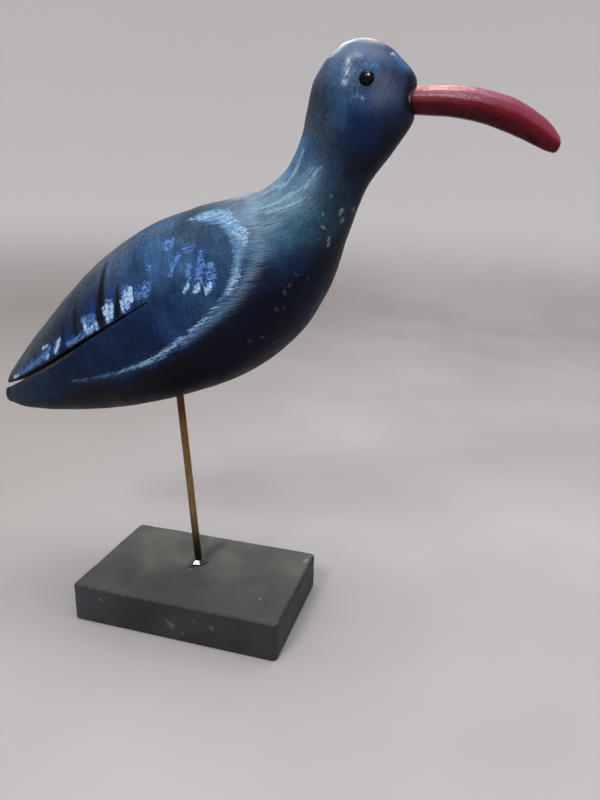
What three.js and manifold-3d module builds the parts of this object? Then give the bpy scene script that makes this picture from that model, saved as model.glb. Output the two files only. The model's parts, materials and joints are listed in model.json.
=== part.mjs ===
// A carved and painted curlew on a brass rod and a wooden plinth.
// Millimetres, +Z up. The plinth's underside is z = 0, and the rod leaves its top at x = 0, y = 0.
// The bird faces +X and is symmetric about the mid plane y = 0.
import * as THREE from "three";
import { mergeVertices } from "three/addons/utils/BufferGeometryUtils.js";
import Module from "manifold-3d";

const wasm = await Module();
wasm.setup();

// ---------------------------------------------------------------- driving dimensions
const GAP = 0.3; // between pieces that touch
const OVERRUN = 5; // how far a cutter runs past the surface that it cuts
const sides = { round: 28, eye: 24, wire: 10 }; // of the polygons that stand for circles

const plinth = {
  length: 139.7,
  width: 88.9,
  height: 25.4,
  rodInset: { x: 4, y: -7 }, // from the rod's foot to the middle of the plinth
  cornerRadius: 4,
  edgeEasing: 1,
};

const rod = {
  radius: 2.38,
  length: 177.8,
  depthInPlinth: 17,
  rake: THREE.MathUtils.degToRad(5.3), // it leans back towards the tail
  chamfer: 0.5,
};

const glueBead = { radius: 6.5, height: 3.2, steps: 4 };

// Stations along the bird, from tail to head. Back and belly are points [x, z] of the mid plane.
const bodyStations = [
  { back: [-136.8, 151], belly: [-140, 126], halfWidth: 5.5 },
  { back: [-130, 158.8], belly: [-129.5, 124.2], halfWidth: 9.5 },
  { back: [-113.4, 177.2], belly: [-108, 125], halfWidth: 16.5 },
  { back: [-87.5, 203.6], belly: [-78, 128.5], halfWidth: 25 },
  { back: [-57.5, 230.8], belly: [-40, 136], halfWidth: 32 },
  { back: [-25, 250.8], belly: [-1, 148.3], halfWidth: 36.5 },
  { back: [5, 261.8], belly: [37, 165.3], halfWidth: 38 },
  { back: [30, 268.4], belly: [67.5, 191], halfWidth: 35.5 },
  { back: [47, 273.3], belly: [84.6, 219.5], halfWidth: 29 },
  { back: [59.6, 283.6], belly: [93.8, 247.7], halfWidth: 22.5 },
  { back: [66.8, 298.5], belly: [102.8, 273.2], halfWidth: 19.5 },
  { back: [69.3, 312], belly: [117.3, 293.7], halfWidth: 20.5 },
  { back: [72.3, 325.5], belly: [127, 310.3], halfWidth: 22.5 },
  { back: [78.2, 336], belly: [126.3, 327.6], halfWidth: 20.5 },
  { back: [86.3, 343.2], belly: [115.5, 339.5], halfWidth: 13.5 },
];
const body = {
  tailTip: [-145, 133.5],
  tailCapStart: THREE.MathUtils.degToRad(35), // how steeply the cap leaves the first station
  crown: [100.5, 346.3],
  crownCapStart: THREE.MathUtils.degToRad(55),
  ringsPerSpan: 3,
  ringPoints: 28,
  squareness: 0.94, // power of the section's sine and cosine; 1 is an ellipse
  capRings: 5,
};

// The saw cut that parts the folded wings from the body under them, from the tail forwards:
// points [x, z] of its middle line, and its width there.
const wingCut = [
  { at: [-151, 139.5], width: 22 },
  { at: [-144, 139.7], width: 10 },
  { at: [-139.5, 140.8], width: 3.8 },
  { at: [-133, 142.8], width: 2 },
  { at: [-86.5, 165.3], width: 2 },
  { at: [-48, 187.2], width: 1.5 },
  { at: [-18, 206], width: 1 },
];
const wingCutSteps = 4; // from one of its points to the next

// Stations along the beak, from the end inside the head to the tip.
const beakStations = [
  { centre: [112, 316.8], halfHeight: 6.3, halfWidth: 6 },
  { centre: [126, 316.8], halfHeight: 6.4, halfWidth: 6.1 },
  { centre: [142, 316.4], halfHeight: 7, halfWidth: 6.4 },
  { centre: [158, 314.5], halfHeight: 7.6, halfWidth: 6.4 },
  { centre: [174, 309.6], halfHeight: 7.7, halfWidth: 6 },
  { centre: [187, 303], halfHeight: 6.5, halfWidth: 5.2 },
  { centre: [195.2, 297.3], halfHeight: 4.6, halfWidth: 4.2 },
];
const beak = {
  tip: [198.8, 294.4],
  tipCapStart: THREE.MathUtils.degToRad(20),
  ringsPerSpan: 3,
  ringPoints: 20,
  squareness: 0.9,
  capRings: 4,
};
const beakSocket = {
  clearance: 0.45,
  rimX: 123.6, // the floor of the shallow recess round the beak
  rimRadius: 8.2,
};
const beakGlue = { thickness: 1.3 };

const eye = {
  x: 104.6,
  z: 324.4,
  bedY: 19.6, // distance of the eye's flat back from the mid plane
  radius: 3.6,
  domeHeight: 3.2,
  flatThickness: 1.2,
  domeSteps: 5,
};
const eyeWire = { radius: 0.6, length: 12 };

const colours = {
  plinthPaint: { color: 0x3b403f, roughness: 0.6, metalness: 0 },
  brass: { color: 0xa8803a, roughness: 0.35, metalness: 1 },
  glue: { color: 0x8d9492, roughness: 0.15, metalness: 0 },
  bluePaint: { color: 0x1d2f4e, roughness: 0.45, metalness: 0 },
  beakPaint: { color: 0x6b1c28, roughness: 0.4, metalness: 0 },
  filler: { color: 0x9fb3b5, roughness: 0.5, metalness: 0 },
  eyeGlass: { color: 0x0b0b0d, roughness: 0.05, metalness: 0 },
  steel: { color: 0x8a8d90, roughness: 0.35, metalness: 1 },
};

// ---------------------------------------------------------------- tools
// A three.js geometry as a manifold-3d solid.
function toSolid(geometry) {
  const bare = geometry.index ? geometry.toNonIndexed() : geometry.clone();
  bare.deleteAttribute("normal");
  bare.deleteAttribute("uv");
  const merged = mergeVertices(bare, 1e-4);
  return new wasm.Manifold(
    new wasm.Mesh({
      numProp: 3,
      vertProperties: merged.attributes.position.array,
      triVerts: new Uint32Array(merged.index.array),
    }),
  );
}

// A manifold-3d solid as a three.js geometry.
function toGeometry(solid) {
  const mesh = solid.getMesh();
  const positions = new Float32Array(mesh.numVert * 3);
  for (let i = 0; i < mesh.numVert; i++) {
    const start = i * mesh.numProp;
    positions.set(mesh.vertProperties.subarray(start, start + 3), i * 3);
  }
  const geometry = new THREE.BufferGeometry();
  geometry.setAttribute("position", new THREE.BufferAttribute(positions, 3));
  geometry.setIndex(new THREE.BufferAttribute(mesh.triVerts, 1));
  geometry.computeVertexNormals();
  return geometry;
}

// The first geometry less all the others.
function cut(geometry, ...cutters) {
  const solid = cutters.reduce(
    (left, cutter) => left.subtract(toSolid(cutter)),
    toSolid(geometry),
  );
  return toGeometry(solid);
}

// A round bar along +Z from z = 0, with its ends chamfered.
function bar(radius, length, count, chamfer = 0) {
  const profile = [
    [0, 0],
    [radius - chamfer, 0],
    [radius, chamfer],
    [radius, length - chamfer],
    [radius - chamfer, length],
    [0, length],
  ];
  const isNew = ([r, z], i) => i === 0 || r !== profile[i - 1][0] || z !== profile[i - 1][1];
  return lathe(profile.filter(isNew), count);
}

// A body of revolution about +Z from a profile of [radius, z] points that runs upwards.
function lathe(profile, count) {
  const points = profile.map(([r, z]) => new THREE.Vector2(r, z));
  return new THREE.LatheGeometry(points, count).rotateX(Math.PI / 2);
}

// A flat outline in the XZ plane, thickened by halfWidth to both sides of y = 0.
function slab(outline, halfWidth) {
  const shape = new THREE.Shape(outline);
  const options = { depth: 2 * halfWidth, bevelEnabled: false };
  const geometry = new THREE.ExtrudeGeometry(shape, options);
  return geometry.rotateX(Math.PI / 2).translate(0, halfWidth, 0);
}

function signedPower(value, power) {
  return Math.sign(value) * Math.abs(value) ** power;
}

// One ring of a loft: a rounded section about centre. Its half height is a vector in the mid plane.
function ring({ centre, halfHeight, halfWidth }, shape) {
  const points = [];
  for (let i = 0; i < shape.ringPoints; i++) {
    const angle = (i / shape.ringPoints) * 2 * Math.PI;
    const up = signedPower(Math.cos(angle), shape.squareness);
    const side = signedPower(Math.sin(angle), shape.squareness);
    const point = centre.clone().addScaledVector(halfHeight, up);
    point.y += halfWidth * side;
    points.push(point);
  }
  return points;
}

// Rings that round off a loft between its end section and a pole, on an arc of an ellipse.
function capRings(section, pole, startAngle, shape) {
  const made = [];
  for (let i = 1; i < shape.capRings; i++) {
    const angle = THREE.MathUtils.lerp(startAngle, Math.PI / 2, i / shape.capRings);
    const size = Math.cos(angle) / Math.cos(startAngle);
    const share = (Math.sin(angle) - Math.sin(startAngle)) / (1 - Math.sin(startAngle));
    const centre = section.centre.clone().lerp(pole, share);
    const halfHeight = section.halfHeight.clone().multiplyScalar(size);
    made.push(ring({ centre, halfHeight, halfWidth: section.halfWidth * size }, shape));
  }
  return made;
}

// A closed skin over rings, with a pole at each end.
function skin(firstPole, rings, lastPole) {
  const count = rings[0].length;
  const points = [firstPole, ...rings.flat(), lastPole];
  const faces = [];
  const last = points.length - 1;
  const at = (r, i) => 1 + r * count + (i % count);
  for (let i = 0; i < count; i++) {
    faces.push(0, at(0, i), at(0, i + 1));
    for (let r = 0; r + 1 < rings.length; r++) {
      faces.push(at(r, i), at(r + 1, i), at(r, i + 1));
      faces.push(at(r, i + 1), at(r + 1, i), at(r + 1, i + 1));
    }
    faces.push(last, at(rings.length - 1, i + 1), at(rings.length - 1, i));
  }
  const geometry = new THREE.BufferGeometry().setFromPoints(points);
  geometry.setIndex(faces);
  return geometry;
}

// The rings of smooth sections through the given ones.
function ringsThrough(sections, shape) {
  const centres = new THREE.CatmullRomCurve3(sections.map((s) => s.centre));
  const heights = new THREE.CatmullRomCurve3(sections.map((s) => s.halfHeight));
  const widths = new THREE.CatmullRomCurve3(
    sections.map((s, i) => new THREE.Vector3(i, s.halfWidth, 0)),
  );
  const count = (sections.length - 1) * shape.ringsPerSpan;
  const made = [];
  for (let i = 0; i <= count; i++) {
    const t = i / count;
    const centre = centres.getPoint(t);
    const halfHeight = heights.getPoint(t);
    made.push(ring({ centre, halfHeight, halfWidth: widths.getPoint(t).y }, shape));
  }
  return made;
}

function inMidPlane([x, z]) {
  return new THREE.Vector3(x, 0, z);
}

// ---------------------------------------------------------------- shapes
function plinthBlank() {
  const { length, width, height, cornerRadius, edgeEasing } = plinth;
  const halfX = length / 2 - edgeEasing;
  const halfY = width / 2 - edgeEasing;
  const r = cornerRadius - edgeEasing;
  const shape = new THREE.Shape();
  shape.moveTo(-halfX + r, -halfY);
  shape.lineTo(halfX - r, -halfY);
  shape.absarc(halfX - r, -halfY + r, r, -Math.PI / 2, 0);
  shape.lineTo(halfX, halfY - r);
  shape.absarc(halfX - r, halfY - r, r, 0, Math.PI / 2);
  shape.lineTo(-halfX + r, halfY);
  shape.absarc(-halfX + r, halfY - r, r, Math.PI / 2, Math.PI);
  shape.lineTo(-halfX, -halfY + r);
  shape.absarc(-halfX + r, -halfY + r, r, Math.PI, 1.5 * Math.PI);
  const block = new THREE.ExtrudeGeometry(shape, {
    depth: height - 2 * edgeEasing,
    bevelSize: edgeEasing,
    bevelThickness: edgeEasing,
    bevelSegments: 1,
    curveSegments: 4,
  });
  return block.translate(plinth.rodInset.x, plinth.rodInset.y, edgeEasing);
}

// A shape made along +Z from the rod's foot, put on the rod's leaning axis.
function alongRod(geometry, distance = 0) {
  return geometry
    .translate(0, 0, distance)
    .rotateY(-rod.rake)
    .translate(0, 0, plinth.height);
}

function rodShape() {
  return alongRod(bar(rod.radius, rod.length, sides.round, rod.chamfer), -rod.depthInPlinth);
}

// The hole that the rod stands in: it clears the rod all round and at its ends.
function rodBore() {
  const bore = bar(rod.radius + GAP, rod.length + 2 * GAP, sides.round);
  return alongRod(bore, -rod.depthInPlinth - GAP);
}

function glueBeadShape() {
  const profile = [[0, 0]];
  for (let i = 0; i <= glueBead.steps; i++) {
    const angle = (i / glueBead.steps) * (Math.PI / 2);
    const radius = THREE.MathUtils.lerp(glueBead.radius, rod.radius, Math.sin(angle));
    profile.push([radius, glueBead.height * (1 - Math.cos(angle))]);
  }
  profile.push([0, glueBead.height]);
  const bead = lathe(profile, sides.round).translate(0, 0, plinth.height + GAP);
  return cut(bead, rodBore());
}

function birdBlank() {
  const sections = bodyStations.map(({ back, belly, halfWidth }) => {
    const top = inMidPlane(back);
    const bottom = inMidPlane(belly);
    return {
      centre: top.clone().add(bottom).divideScalar(2),
      halfHeight: top.clone().sub(bottom).divideScalar(2),
      halfWidth,
    };
  });
  const tailTip = inMidPlane(body.tailTip);
  const crown = inMidPlane(body.crown);
  return skin(
    tailTip,
    [
      ...capRings(sections[0], tailTip, body.tailCapStart, body).reverse(),
      ...ringsThrough(sections, body),
      ...capRings(sections[sections.length - 1], crown, body.crownCapStart, body),
    ],
    crown,
  );
}

// A thin tapering blade along the saw cut, wider than the bird.
function wingCutShape() {
  const curve = new THREE.CatmullRomCurve3(
    wingCut.map(({ at, width }) => new THREE.Vector3(...at, width)),
  );
  const count = (wingCut.length - 1) * wingCutSteps;
  const upper = [];
  const lower = [];
  for (let i = 0; i <= count; i++) {
    const { x, y, z: width } = curve.getPoint(i / count);
    const along = curve.getTangent(i / count);
    const across = new THREE.Vector2(-along.y, along.x).setLength(width / 2);
    upper.push(new THREE.Vector2(x, y).add(across));
    lower.push(new THREE.Vector2(x, y).sub(across));
  }
  const widest = Math.max(...bodyStations.map((station) => station.halfWidth));
  return slab([...lower, ...upper.reverse()], widest + OVERRUN);
}

// Shapes made along +Z turned to run along +X from a point of the mid plane.
function alongX(geometry, x, z) {
  return geometry.rotateY(Math.PI / 2).translate(x, 0, z);
}

function beakSocketShapes() {
  const root = beakStations[0];
  const depth = beakSocket.rimX - root.centre[0];
  const holeRadius = root.halfHeight + beakSocket.clearance;
  const hole = bar(holeRadius, depth + 2 * OVERRUN, sides.round);
  const rim = bar(beakSocket.rimRadius, OVERRUN, sides.round);
  return [
    alongX(hole, root.centre[0] - GAP, root.centre[1]),
    alongX(rim, beakSocket.rimX, root.centre[1]),
  ];
}

// Each section of the beak stands square to the line of its centres.
function beakShape() {
  const centres = beakStations.map(({ centre }) => inMidPlane(centre));
  const line = new THREE.CatmullRomCurve3(centres);
  const sections = beakStations.map(({ halfHeight, halfWidth }, i) => {
    const along = line.getTangent(i / (beakStations.length - 1));
    const up = new THREE.Vector3(-along.z, 0, along.x);
    return { centre: centres[i], halfHeight: up.multiplyScalar(halfHeight), halfWidth };
  });
  const tip = inMidPlane(beak.tip);
  const rings = ringsThrough(sections, beak);
  const cap = capRings(sections[sections.length - 1], tip, beak.tipCapStart, beak);
  return skin(centres[0], [...rings, ...cap], tip);
}

function beakGlueShape() {
  const root = beakStations[0];
  const inner = root.halfHeight + beakSocket.clearance + GAP;
  const outer = beakSocket.rimRadius - GAP;
  const profile = [
    [inner, 0],
    [outer, 0],
    [outer, beakGlue.thickness / 2],
    [inner, beakGlue.thickness],
    [inner, 0],
  ];
  return alongX(lathe(profile, sides.round), beakSocket.rimX + GAP, root.centre[1]);
}

// A shape made along +Z turned to face out of the head. Side is 1 for the left (+Y), -1 for the right.
function onEye(geometry, side) {
  return geometry.rotateX((-side * Math.PI) / 2).translate(eye.x, side * eye.bedY, eye.z);
}

function eyeShape(side) {
  const { radius, domeHeight, flatThickness, domeSteps } = eye;
  const profile = [[0, 0], [radius, 0]];
  for (let i = 0; i < domeSteps; i++) {
    const angle = (i / domeSteps) * (Math.PI / 2);
    const height = flatThickness + domeHeight * Math.sin(angle);
    profile.push([radius * Math.cos(angle), height]);
  }
  profile.push([0, flatThickness + domeHeight]);
  return onEye(lathe(profile, sides.eye), side);
}

function eyeWireShape(side) {
  const { radius, length } = eyeWire;
  return onEye(bar(radius, length, sides.wire).translate(0, 0, -length - GAP), side);
}

function eyeSocketShapes(side) {
  const bed = bar(eye.radius + GAP, OVERRUN, sides.eye).translate(0, 0, -GAP);
  const depth = eyeWire.length + 2 * GAP;
  const hole = bar(eyeWire.radius + GAP, depth + GAP, sides.wire);
  return [onEye(bed, side), onEye(hole.translate(0, 0, -depth), side)];
}

function birdShape() {
  return cut(
    birdBlank(),
    wingCutShape(),
    rodBore(),
    ...beakSocketShapes(),
    ...eyeSocketShapes(1),
    ...eyeSocketShapes(-1),
  );
}

// ---------------------------------------------------------------- the object
const curlew = new THREE.Group();
const stand = new THREE.Group();
const bird = new THREE.Group();
curlew.add(stand, bird);

function addPiece(group, name, geometry, finish) {
  const mesh = new THREE.Mesh(geometry, new THREE.MeshStandardMaterial(finish));
  mesh.name = name;
  group.add(mesh);
}

addPiece(stand, "plinth", cut(plinthBlank(), rodBore()), colours.plinthPaint);
addPiece(stand, "support_rod", rodShape(), colours.brass);
addPiece(stand, "rod_glue_bead", glueBeadShape(), colours.glue);

addPiece(bird, "bird_body", birdShape(), colours.bluePaint);
addPiece(bird, "beak", beakShape(), colours.beakPaint);
addPiece(bird, "beak_glue_line", beakGlueShape(), colours.filler);
for (const [side, label] of [
  [1, "left"],
  [-1, "right"],
]) {
  addPiece(bird, `eye_${label}`, eyeShape(side), colours.eyeGlass);
  addPiece(bird, `eye_wire_${label}`, eyeWireShape(side), colours.steel);
}

export default curlew;
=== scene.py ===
"""A carved and painted shorebird on a rod and a painted board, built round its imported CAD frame."""

import json
import math

import bpy
import numpy as np
from mathutils import Matrix, Vector
from mathutils.bvhtree import BVHTree
from mathutils.noise import fractal, seed_set


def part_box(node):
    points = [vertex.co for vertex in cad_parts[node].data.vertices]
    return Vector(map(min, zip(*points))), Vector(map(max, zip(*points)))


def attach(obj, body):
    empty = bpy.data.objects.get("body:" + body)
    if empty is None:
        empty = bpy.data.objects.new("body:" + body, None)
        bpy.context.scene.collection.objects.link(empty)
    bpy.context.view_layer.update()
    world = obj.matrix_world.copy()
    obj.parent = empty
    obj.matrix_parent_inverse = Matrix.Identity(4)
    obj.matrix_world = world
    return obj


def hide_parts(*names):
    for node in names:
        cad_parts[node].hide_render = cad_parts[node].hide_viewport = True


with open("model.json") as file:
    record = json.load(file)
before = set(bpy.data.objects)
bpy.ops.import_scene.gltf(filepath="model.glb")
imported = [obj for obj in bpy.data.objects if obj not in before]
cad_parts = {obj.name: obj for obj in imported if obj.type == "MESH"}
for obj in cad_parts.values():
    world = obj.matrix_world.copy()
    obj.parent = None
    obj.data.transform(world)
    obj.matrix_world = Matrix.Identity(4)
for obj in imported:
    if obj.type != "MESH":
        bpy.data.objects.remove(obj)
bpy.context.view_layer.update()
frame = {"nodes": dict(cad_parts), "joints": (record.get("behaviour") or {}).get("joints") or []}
seed_set(7)

MM = 0.001
FULL_TURN = 2 * math.pi


def extent(node):
    """A CAD node's lowest and highest corner, in millimetres."""
    low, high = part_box(node)
    return np.array(low) / MM, np.array(high) / MM


# ---------------------------------------------------------------- sizes, in millimetres
# The bird lies in the shared frame: +X towards the beak, +Z up, y = 0 is its mid plane.
BODY_STATIONS = [  # back (x, z), belly (x, z), half width
    ((-136.8, 151), (-140, 126), 5.5),
    ((-130, 158.8), (-129.5, 124.2), 9.5),
    ((-113.4, 177.2), (-108, 125), 16.5),
    ((-87.5, 203.6), (-78, 128.5), 25),
    ((-57.5, 230.8), (-40, 136), 32),
    ((-25, 250.8), (-1, 148.3), 36.5),
    ((5, 261.8), (37, 165.3), 38),
    ((30, 268.4), (67.5, 191), 35.5),
    ((47, 273.3), (84.6, 219.5), 29),
    ((59.6, 283.6), (93.8, 247.7), 22.5),
    ((66.8, 298.5), (102.8, 273.2), 19.5),
    ((69.3, 312), (117.3, 293.7), 20.5),
    ((72.3, 325.5), (127, 310.3), 22.5),
    ((78.2, 336), (126.3, 327.6), 20.5),
    ((86.3, 343.2), (115.5, 339.5), 13.5),
]
BODY_POLES = ((-145, 133.5), (100.5, 346.3))
BODY_CAP_STARTS = (math.radians(35), math.radians(55))
BODY_SQUARENESS = 0.94
WING_CUT = [  # middle line (x, z) of the saw cut under the folded wings, and its width
    ((-151, 141), 27),
    ((-144, 140.8), 14),
    ((-141.5, 140.8), 7),
    ((-139.5, 140.6), 3.2),
    ((-133, 142.8), 2.2),
    ((-86.5, 165.3), 1.8),
    ((-48, 187.2), 1.2),
    ((-26, 199.6), 0.7),
    ((-12, 207.6), 0.15),
]
CUT_TILT = -0.07  # how far the saw cut drops from the bird's right side to its left
CUT_LEVEL = 15.0  # and how far from the mid plane, on the right, it is at its own height
CUT_REACH = 60.0  # half the length of the blade, across the bird
CUT_MOUTH = 3  # how many of WING_CUT's first places only open its mouth
BEAK_STATIONS = [  # centre (x, z), half height, half width, and how many degrees the section leans forward
    ((112, 317.2), 6.8, 6.0, 0),
    ((126, 317.2), 6.9, 6.1, 1),
    ((142, 316.7), 7.3, 6.4, 4.5),
    ((158, 314.6), 7.7, 6.4, 12.5),
    ((174, 309.6), 7.7, 6.0, 22),
    ((187, 302.9), 6.6, 5.2, 29),
    ((193.2, 298.9), 5.5, 4.5, 20),
    ((197.3, 296.4), 4.3, 3.6, 8),
]
BEAK_TIP = (199.3, 296.0)
BEAK_TIP_START = math.radians(35)
BEAK_SQUARENESS = 0.9
BEAK_FACETS = [  # direction round the section from its top, in degrees, and how far out it is flat
    (28, 0.9),
    (78, 0.93),
    (128, 0.92),
    (180, 0.96),
]
BEAK_ROOT = BEAK_STATIONS[1][0]  # where the beak leaves the face
BEAK_FLATS_END = 190.0  # x at which the flats have all but faded
BEAK_FLATS_FADE = 40.0
SOCKET_CLEARANCE = 0.45
SOCKET_SINK = 2.6  # how far the face is pared back round the beak's root
RECESS = 0.3  # how much deeper a hole is than the piece in it
BORE_CLEARANCE = 0.35
EYE_CLEARANCE = 0.1
EYE_EDGE = 0.24  # the share of an eye that is edge below its dome
RING_SINK = 0.7  # how far the ring of filler lies behind its place in the CAD
BEAD_SPREAD = 0.68  # the reach of the glue bead as a share of its CAD one
DRILL_LENGTH = 20  # well past the bird's surface
BODY_VOXEL = 1.12
BEAK_VOXEL = 0.55
BOARD_VOXEL = 0.85

BOARD_LOW, BOARD_HIGH = extent("plinth")
BOARD_TOP = BOARD_HIGH[2]
BOARD_CORNER = 3.4
BOARD_FOOT_EASING = 0.6
BOARD_TOP_EASING = 1.5

ROD_LOW, ROD_HIGH = extent("support_rod")
ROD_AXIS = frame["joints"][0]["axis"]
ROD_RAKE = math.atan2(-ROD_AXIS[0], ROD_AXIS[2])
ROD_CHAMFER = 0.5
ROD_RADIUS = (ROD_HIGH[1] - ROD_LOW[1]) / 2
ROD_END_DIP = (ROD_RADIUS - ROD_CHAMFER) * math.sin(ROD_RAKE)  # what the lean adds to the height at each end
ROD_LENGTH = (ROD_HIGH[2] - ROD_LOW[2] - 2 * ROD_END_DIP) / math.cos(ROD_RAKE)
ROD_DEPTH = (BOARD_TOP - ROD_LOW[2] - ROD_END_DIP) / math.cos(ROD_RAKE)


# ---------------------------------------------------------------- meshes
def new_object(name, points, faces):
    """An object of its own, from points in millimetres."""
    mesh = bpy.data.meshes.new(name)
    mesh.from_pydata((np.asarray(points, float) * MM).tolist(), [], faces)
    mesh.update()
    obj = bpy.data.objects.new(name, mesh)
    bpy.context.scene.collection.objects.link(obj)
    return obj


def new_solid(name, points, faces):
    """A closed object whose faces look outwards."""
    obj = new_object(name, points, faces)
    if sum(face.center.dot(face.normal) * face.area for face in obj.data.polygons) < 0:
        obj.data.flip_normals()
    return obj


def settle(obj):
    """Applies all of an object's modifiers."""
    graph = bpy.context.evaluated_depsgraph_get()
    mesh = bpy.data.meshes.new_from_object(obj.evaluated_get(graph))
    obj.modifiers.clear()
    obj.data = mesh


def cut(obj, *cutters):
    """Takes the cutters away from obj."""
    for cutter in cutters:
        tool = obj.modifiers.new("cut", "BOOLEAN")
        tool.operation = "DIFFERENCE"
        tool.solver = "EXACT"
        tool.object = cutter
        settle(obj)
        bpy.data.objects.remove(cutter)


def remesh(obj, voxel, smoothing):
    """Gives obj an even fine mesh with slightly eased edges."""
    grid = obj.modifiers.new("grid", "REMESH")
    grid.mode = "VOXEL"
    grid.voxel_size = voxel * MM
    soften = obj.modifiers.new("soften", "SMOOTH")
    soften.factor = 0.5
    soften.iterations = smoothing
    settle(obj)


def shade(obj, angle=None):
    """Smooth shading, with the edges sharper than angle kept crisp."""
    obj.data.shade_smooth()
    if angle:
        obj.data.set_sharp_from_angle(angle=math.radians(angle))


def place(obj, matrix):
    """Moves an object's points, so that the object itself stays at the origin."""
    obj.data.transform(matrix)
    obj.data.update()


def shift(x, y, z):
    """A move given in millimetres."""
    return Matrix.Translation(Vector((x, y, z)) * MM)


def vertices(obj):
    """The object's points in millimetres, one row each."""
    found = np.empty(len(obj.data.vertices) * 3)
    obj.data.vertices.foreach_get("co", found)
    return found.reshape(-1, 3) / MM


def push_out(obj, distance):
    """Moves each point along its normal; returns the new points."""
    found = np.empty(len(obj.data.vertices) * 3)
    obj.data.vertex_normals.foreach_get("vector", found)
    moved = vertices(obj) + found.reshape(-1, 3) * distance[:, None]
    move_vertices(obj, moved)
    return moved


def move_vertices(obj, points):
    obj.data.vertices.foreach_set("co", (points * MM).ravel())
    obj.data.update()


def store(obj, name, values, kind="FLOAT"):
    """Keeps a number, vector or colour for each point, where the materials can read it."""
    field = {"FLOAT": "value", "FLOAT_VECTOR": "vector", "FLOAT_COLOR": "color"}[kind]
    attribute = obj.data.attributes.new(name, kind, "POINT")
    attribute.data.foreach_set(field, values.ravel())


def rough_noise(points, size, octaves=3):
    """Smooth noise of about -1 to 1 at each point, whose bumps are about size across."""
    return np.array([fractal(Vector(p), 1.0, 2.0, octaves) for p in points / size])


# ---------------------------------------------------------------- lofts
def smooth_through(points, per_span):
    """Points on the centripetal Catmull-Rom curve through the given ones."""
    given = np.asarray(points, float)
    given = np.vstack([2 * given[0] - given[1], given, 2 * given[-1] - given[-2]])
    t = np.arange(per_span)[:, None] / per_span
    made = []
    for a, b, c, d in zip(given, given[1:], given[2:], given[3:]):
        ab, bc, cd = (np.linalg.norm(q - p) ** 0.5 for p, q in ((a, b), (b, c), (c, d)))
        leave = ((b - a) / ab - (c - a) / (ab + bc) + (c - b) / bc) * bc
        arrive = ((c - b) / bc - (d - b) / (bc + cd) + (d - c) / cd) * bc
        squared = 3 * (c - b) - 2 * leave - arrive
        cubed = 2 * (b - c) + leave + arrive
        made.append(b + leave * t + squared * t**2 + cubed * t**3)
    return np.vstack([*made, given[-2]])


def oval(count, squareness):
    """Unit points (up, side) round a section; a squareness below 1 fills its corners out."""
    angles = np.arange(count) / count * FULL_TURN
    ends = np.column_stack([np.cos(angles), np.sin(angles)])
    return np.sign(ends) * np.abs(ends) ** squareness


def faceted(section, strength):
    """A beak's unit section with flats carved on both its sides."""
    around = np.arctan2(np.abs(section[:, 1]), section[:, 0])
    reach = np.linalg.norm(section, axis=1)
    scale = np.ones(len(section))
    for degrees, flat in BEAK_FACETS:
        facing = np.cos(around - math.radians(degrees))
        limit = flat / np.maximum(facing, 1e-3) / reach
        scale = np.where(facing > 0.3, np.minimum(scale, limit), scale)
    return section * (1 + (scale - 1) * strength)[:, None]


def rings_on(centres, heights, widths, section):
    """Rings of points: section is one unit outline, or one for each ring."""
    sections = section if section.ndim == 3 else np.repeat(section[None], len(centres), axis=0)
    in_plane = centres[:, None, :] + heights[:, None, :] * sections[:, :, :1]
    side = widths[:, None] * sections[:, :, 1]
    return np.stack([in_plane[:, :, 0], side, in_plane[:, :, 1]], axis=2)


def cap_sections(centre, height, width, pole, start, count):
    """Sections that round a loft off between its end section and a pole, on an arc of an ellipse."""
    angles = start + (math.pi / 2 - start) * np.arange(1, count) / count
    size = np.cos(angles) / math.cos(start)
    share = (np.sin(angles) - math.sin(start)) / (1 - math.sin(start))
    centres = centre + (np.asarray(pole) - centre) * share[:, None]
    return centres, height * size[:, None], width * size


def skin(first, rings, last):
    """Points and faces of a closed skin over rings, with a pole at each end."""
    count = rings.shape[1]
    points = np.vstack([first, rings.reshape(-1, 3), last])
    end = len(points) - 1
    top = len(rings) - 1

    def at(ring, i):
        return 1 + ring * count + i % count

    faces = [(at(0, i), at(0, i + 1), 0) for i in range(count)]
    for ring in range(top):
        faces += [(at(ring + 1, i), at(ring + 1, i + 1), at(ring, i + 1), at(ring, i)) for i in range(count)]
    faces += [(at(top, i + 1), at(top, i), end) for i in range(count)]
    return points, faces


def in_mid_plane(point):
    return np.array([[point[0], 0.0, point[1]]])


def lathe(name, profile, count, wobble=None):
    """A body of revolution about +Z, from (radius, z) points that run up from the axis and back to it."""
    angles = np.arange(count) / count * FULL_TURN
    rings = []
    for radius, z in profile[1:-1]:
        radii = radius * (wobble(angles, z) if wobble else np.ones(count))
        rings.append(np.column_stack([radii * np.cos(angles), radii * np.sin(angles), np.full(count, z)]))
    poles = [np.array([[0, 0, z]]) for _, z in (profile[0], profile[-1])]
    return new_solid(name, *skin(poles[0], np.array(rings), poles[1]))


def drill(radius, length, count=48):
    """A plain round cutter that starts at z = 0."""
    return lathe("drill", [(0, 0), (radius, 0), (radius, length), (0, length)], count)


def along_rod(obj, distance=0.0):
    """Puts a shape made along +Z from the rod's foot onto the rod's leaning axis."""
    place(obj, shift(0, 0, BOARD_TOP) @ Matrix.Rotation(-ROD_RAKE, 4, "Y") @ shift(0, 0, distance))


def rod_bore():
    """The hole that the rod stands in, through the bird and the board alike."""
    bore = drill(ROD_RADIUS + BORE_CLEARANCE, ROD_LENGTH + 2 * RECESS)
    along_rod(bore, -ROD_DEPTH - RECESS)
    return bore


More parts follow.
